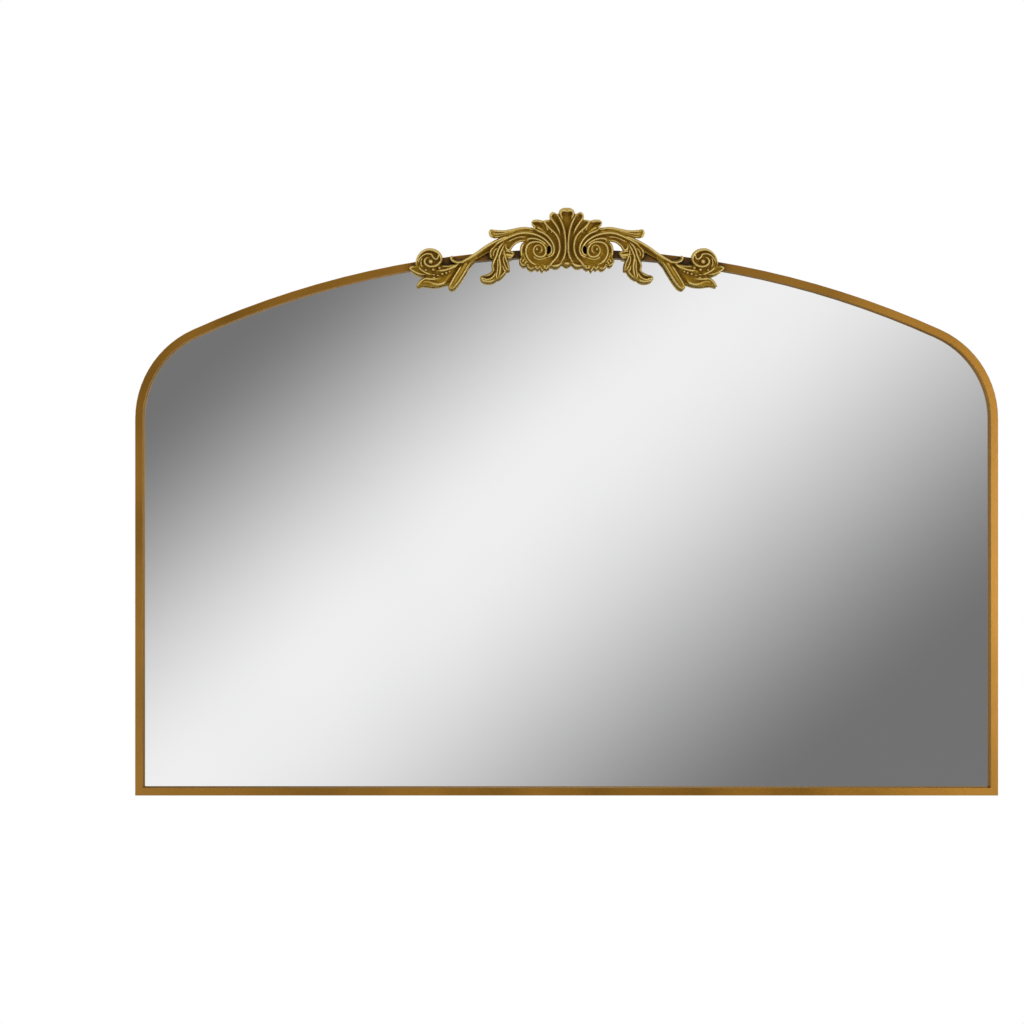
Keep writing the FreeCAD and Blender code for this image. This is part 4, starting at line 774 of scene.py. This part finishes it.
def crest_gold():
    s = Shader("crest_gold").set(Metallic=0.55, Specular_IOR_Level=GOLD_SPECULAR, Specular_Tint=GOLD_TINT)
    # wear and painted shade of the relief: near black in recesses and pits, pale gold on ridges and edges
    wear_and_shade = s.attribute("wear_and_shade")
    mottle = s.noise(260, 3)
    tone_with_shade = s.sum(wear_and_shade, mottle, 0.12)
    stops = [(0.07, (0.004, 0.002, 0.001)), (0.2, (0.128, 0.055, 0.005)), (0.5, (0.26, 0.148, 0.011)),
             (0.72, (0.435, 0.283, 0.045)), (0.98, (0.67, 0.52, 0.185))]
    s.link(s.ramp(tone_with_shade, stops), "Base Color")
    s.link(s.span(tone_with_shade, 0.55, 0.40, 0.2, 0.9), "Roughness")
    s.bump(mottle, 0.00008)
    return s.material


def silvered_glass():
    s = Shader("silvered_glass").set(Metallic=1.0)
    film = s.noise(5, 4)
    s.link(s.ramp(film, [(0.3, (0.915, 0.917, 0.917)), (0.7, (0.935, 0.935, 0.935))]), "Base Color")
    s.link(s.span(s.noise(60, 5), 0.0, 0.012), "Roughness")
    return s.material


def fibreboard():
    s = Shader("fibreboard").set(Metallic=0.0)
    fibre = s.noise(900, 5, (1, 1, 0.35))
    cloud = s.noise(45, 5)
    mixed = s.sum(fibre, cloud, 0.3)
    stops = [(0.45, (0.21, 0.125, 0.062)), (0.64, (0.30, 0.19, 0.10)), (0.84, (0.38, 0.25, 0.14))]
    s.link(s.ramp(mixed, stops), "Base Color")
    s.link(s.span(fibre, 0.7, 0.9), "Roughness")
    s.bump(fibre, 0.00015)
    return s.material


def zinc_steel():
    s = Shader("zinc_steel").set(Metallic=1.0)
    spangle = s.cells(420)
    brush = s.noise(500, 3, (1, 1, 8))
    mixed = s.sum(spangle, brush, 0.5)
    s.link(s.ramp(mixed, [(0.2, (0.36, 0.36, 0.355)), (0.8, (0.50, 0.50, 0.485))]), "Base Color")
    s.link(s.span(mixed, 0.26, 0.4, 0.3, 0.9), "Roughness")
    s.bump(brush, 0.00002)
    return s.material


def painted_bracket():
    s = Shader("painted_bracket").set(Metallic=0.0, Coat_Weight=0.3, Coat_Roughness=0.3)
    peel = s.noise(700, 2)
    s.link(s.ramp(s.noise(40, 3), [(0.3, (0.085, 0.05, 0.014)), (0.7, (0.12, 0.072, 0.02))]), "Base Color")
    s.link(s.span(peel, 0.35, 0.5), "Roughness")
    s.bump(peel, 0.00006)
    return s.material


def soft_material(name, dark, light, scale, rough, depth):
    """Rubber, foam, tape or plastic: fine mottling and a matt, slightly uneven surface."""
    s = Shader(name).set(Metallic=0.0)
    pores = s.noise(scale, 4)
    s.link(s.ramp(pores, [(0.35, dark), (0.65, light)]), "Base Color")
    s.link(s.span(pores, rough - ROUGH_SPREAD, rough + ROUGH_SPREAD), "Roughness")
    s.bump(pores, depth)
    return s.material


# Soft materials by slot: name, dark and light colour, scale of the mottling, roughness, depth of the bumps
SOFT = {
    "film": ("safety_film", (0.055, 0.06, 0.07), (0.075, 0.08, 0.095), 300, 0.35, 0.00004),
    "tape": ("glazing_tape", (0.008, 0.008, 0.008), (0.016, 0.016, 0.016), 900, 0.85, 0.0001),
    "foam": ("foam_strip", (0.5, 0.5, 0.47), (0.66, 0.66, 0.62), 1200, 0.9, 0.0002),
    "block": ("setting_block", (0.012, 0.012, 0.012), (0.02, 0.02, 0.02), 500, 0.5, 0.00005),
    "bumper": ("rubber", (0.006, 0.006, 0.006), (0.014, 0.014, 0.014), 800, 0.7, 0.00008),
}


def dress():
    """Every node of the frame but the replaced crest gets the material of its slot."""
    slots = {
        "rim_gold": rim_gold(),
        "mirror": silvered_glass(),
        "board": fibreboard(),
        "steel": zinc_steel(),
        "bracket": painted_bracket(),
    }
    for slot, values in SOFT.items():
        slots[slot] = soft_material(*values)
    for part in frame["record"]["subparts"]:
        if part["material_slot"] in slots:
            data = frame["nodes"][part["node"]].data
            data.materials.clear()
            data.materials.append(slots[part["material_slot"]])


# Stage, light and camera

# Camera: distance to the rim, width seen there, the point it faces (x, z), width of its sensor
CAMERA_DISTANCE = 2.2
VIEW_WIDTH = 1.4463
VIEW_CENTRE = (-0.0772, -0.1714)
SENSOR = 36.0

# Floor: drop under the rim, half width, back and front edges, glow in camera and mirror views
FLOOR_DROP = 0.9
FLOOR_HALF = 3.0
FLOOR_BACK = 1.5
FLOOR_FRONT = -3.4
FLOOR_GLOW = 0.35

# Strength of the surroundings as a light, and as they are seen
WORLD_LIGHT = 0.55
WORLD_SEEN = 1.0

# Lamps: name, place, the point they face, width and height, power
LAMPS = [
    ("key", (1.62, -1.9, -0.36), (0.2, 0, -0.33), (0.55, 0.9), 19),
    ("fill", (-1.4, -1.9, -0.72), (-0.3, 0, -0.4), (0.3, 0.4), 2.5),
    ("top", (-0.9, -1.5, 1.7), (0, 0, 0), (1.6, 0.8), 7.5),
]

# Card that the glass reflects: distance behind the camera, half width and half height
CARD_BEHIND = 0.15
CARD_HALF = (4.5, 3.0)

# Its diagonal sweep: direction across the bands, two levels, places along that direction and their levels
SWEEP = (0.651, -0.759)
CARD_BRIGHT = 0.93
CARD_DARK = 0.18
SWEEP_STOPS = [(-1.3, CARD_BRIGHT), (-0.455, CARD_DARK), (-0.0154, CARD_BRIGHT), (0.562, CARD_DARK),
               (0.76, CARD_DARK), (1.6, CARD_BRIGHT)]

# Where the card fades to bright, away from its middle: axis, start and end of the fade
CARD_FADES = [("X", 1.35, 2.2), ("Z", 1.0, 1.9)]


def panel(name, corners, material):
    """One flat face that belongs to the stage."""
    mesh = bpy.data.meshes.new(name)
    mesh.from_pydata(corners, [], [range(len(corners))])
    mesh.materials.append(material)
    thing = bpy.data.objects.new(name, mesh)
    bpy.context.scene.collection.objects.link(thing)


def make_floor(lowest):
    s = Shader("pale_floor").set(Roughness=0.9)
    s.link(s.ramp(s.noise(3, 3), [(0.3, (0.83, 0.83, 0.82)), (0.7, (0.86, 0.86, 0.85))]), "Base Color")
    s.set(Emission_Color=(1, 1, 1, 1))
    path = s.nodes.new("ShaderNodeLightPath")
    seen = s.larger(path.outputs["Is Camera Ray"], path.outputs["Is Glossy Ray"])
    s.link(s.span(seen, 0.0, FLOOR_GLOW, 0.0, 1.0), "Emission Strength")
    z = lowest - FLOOR_DROP
    corners = [(-FLOOR_HALF, FLOOR_FRONT, z), (FLOOR_HALF, FLOOR_FRONT, z), (FLOOR_HALF, FLOOR_BACK, z),
               (-FLOOR_HALF, FLOOR_BACK, z)]
    panel("floor", corners, s.material)


def make_card(camera_y, glass_y):
    """Card behind the camera with a soft diagonal sweep of light; only reflections see it."""
    y = camera_y - CARD_BEHIND
    reach = 1 + (glass_y - y) / (glass_y - camera_y)
    material = bpy.data.materials.new("studio_card")
    material.use_nodes = True
    nodes = material.node_tree.nodes
    links = material.node_tree.links
    nodes.remove(nodes["Principled BSDF"])
    place = nodes.new("ShaderNodeTexCoord")
    along = nodes.new("ShaderNodeVectorMath")
    along.operation = "DOT_PRODUCT"
    along.inputs[1].default_value = (SWEEP[0], 0, SWEEP[1])
    links.new(place.outputs["Object"], along.inputs[0])
    offset = SWEEP[0] * VIEW_CENTRE[0] + SWEEP[1] * VIEW_CENTRE[1]
    share = nodes.new("ShaderNodeMapRange")
    start, end = SWEEP_STOPS[0][0], SWEEP_STOPS[-1][0]
    share.inputs["From Min"].default_value = offset + reach * start
    share.inputs["From Max"].default_value = offset + reach * end
    links.new(along.outputs["Value"], share.inputs["Value"])
    sweep = nodes.new("ShaderNodeValToRGB")
    sweep.color_ramp.interpolation = "EASE"
    elements = sweep.color_ramp.elements
    for place_along, level in SWEEP_STOPS[1:-1]:
        elements.new((place_along - start) / (end - start)).color = (level, level, level, 1)
    for element in (elements[0], elements[-1]):
        element.color = (CARD_BRIGHT, CARD_BRIGHT, CARD_BRIGHT, 1)
    links.new(share.outputs["Result"], sweep.inputs["Fac"])
    apart = nodes.new("ShaderNodeSeparateXYZ")
    links.new(place.outputs["Object"], apart.inputs["Vector"])
    level = sweep.outputs["Color"]
    for axis, near, far in CARD_FADES:
        away = nodes.new("ShaderNodeMath")
        away.operation = "ABSOLUTE"
        links.new(apart.outputs[axis], away.inputs[0])
        fade = nodes.new("ShaderNodeMapRange")
        fade.interpolation_type = "SMOOTHSTEP"
        fade.inputs["From Min"].default_value = near
        fade.inputs["From Max"].default_value = far
        fade.inputs["To Max"].default_value = CARD_BRIGHT
        links.new(away.outputs["Value"], fade.inputs["Value"])
        links.new(level, fade.inputs["To Min"])
        level = fade.outputs["Result"]
    glow = nodes.new("ShaderNodeEmission")
    links.new(level, glow.inputs["Strength"])
    path = nodes.new("ShaderNodeLightPath")
    clear = nodes.new("ShaderNodeBsdfTransparent")
    mix = nodes.new("ShaderNodeMixShader")
    links.new(path.outputs["Is Glossy Ray"], mix.inputs["Fac"])
    links.new(clear.outputs["BSDF"], mix.inputs[1])
    links.new(glow.outputs["Emission"], mix.inputs[2])
    links.new(mix.outputs["Shader"], nodes["Material Output"].inputs["Surface"])
    half_x, half_z = CARD_HALF
    corners = [(-half_x, y, -half_z), (half_x, y, -half_z), (half_x, y, half_z), (-half_x, y, half_z)]
    panel("studio_card", corners, material)


def make_world():
    """White to the eye and to reflections, softer as a light."""
    world = bpy.data.worlds.new("studio")
    bpy.context.scene.world = world
    world.use_nodes = True
    nodes = world.node_tree.nodes
    links = world.node_tree.links
    soft = nodes["Background"]
    soft.inputs["Color"].default_value = (1, 1, 1, 1)
    soft.inputs["Strength"].default_value = WORLD_LIGHT
    white = nodes.new("ShaderNodeBackground")
    white.inputs["Color"].default_value = (1, 1, 1, 1)
    white.inputs["Strength"].default_value = WORLD_SEEN
    path = nodes.new("ShaderNodeLightPath")
    seen = path.outputs["Is Camera Ray"]
    for name in ("Is Glossy Ray", "Is Transmission Ray"):
        either = nodes.new("ShaderNodeMath")
        either.operation = "MAXIMUM"
        links.new(seen, either.inputs[0])
        links.new(path.outputs[name], either.inputs[1])
        seen = either.outputs["Value"]
    mix = nodes.new("ShaderNodeMixShader")
    links.new(seen, mix.inputs["Fac"])
    links.new(soft.outputs["Background"], mix.inputs[1])
    links.new(white.outputs["Background"], mix.inputs[2])
    links.new(mix.outputs["Shader"], nodes["World Output"].inputs["Surface"])


def make_lamp(name, place, aim, size, power):
    light = bpy.data.lights.new(name, "AREA")
    light.shape = "RECTANGLE"
    light.size, light.size_y = size
    light.energy = power
    lamp = bpy.data.objects.new(name, light)
    lamp.location = place
    lamp.rotation_euler = (Vector(aim) - Vector(place)).to_track_quat("-Z", "Y").to_euler()
    bpy.context.scene.collection.objects.link(lamp)
    return lamp


def keep_out_of_glass(lamps, glass):
    """The glass shows the room and the card, not the lamps."""
    unlit = bpy.data.collections.new("unlit_by_lamps")
    unlit.objects.link(glass)
    unlit.collection_objects[0].light_linking.link_state = "EXCLUDE"
    for lamp in lamps:
        lamp.light_linking.receiver_collection = unlit


def make_camera(face_y):
    data = bpy.data.cameras.new("camera")
    data.sensor_width = SENSOR
    data.lens = SENSOR * CAMERA_DISTANCE / VIEW_WIDTH
    camera = bpy.data.objects.new("camera", data)
    camera.location = (VIEW_CENTRE[0], face_y - CAMERA_DISTANCE, VIEW_CENTRE[1])
    camera.rotation_euler = (math.radians(90), 0, 0)
    bpy.context.scene.collection.objects.link(camera)
    bpy.context.scene.camera = camera
    return camera


# Scene

crest = make_crest()
crest.data.materials.append(crest_gold())
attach(crest, "mirror")
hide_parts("crest")
dress()

camera = make_camera(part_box("arch_rail")[0].y)
make_floor(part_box("bottom_rail")[0].z)
make_card(camera.location.y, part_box("mirror_glass")[0].y)
make_world()
keep_out_of_glass([make_lamp(*lamp) for lamp in LAMPS], frame["nodes"]["mirror_glass"])
bpy.context.scene.view_settings.view_transform = "Standard"
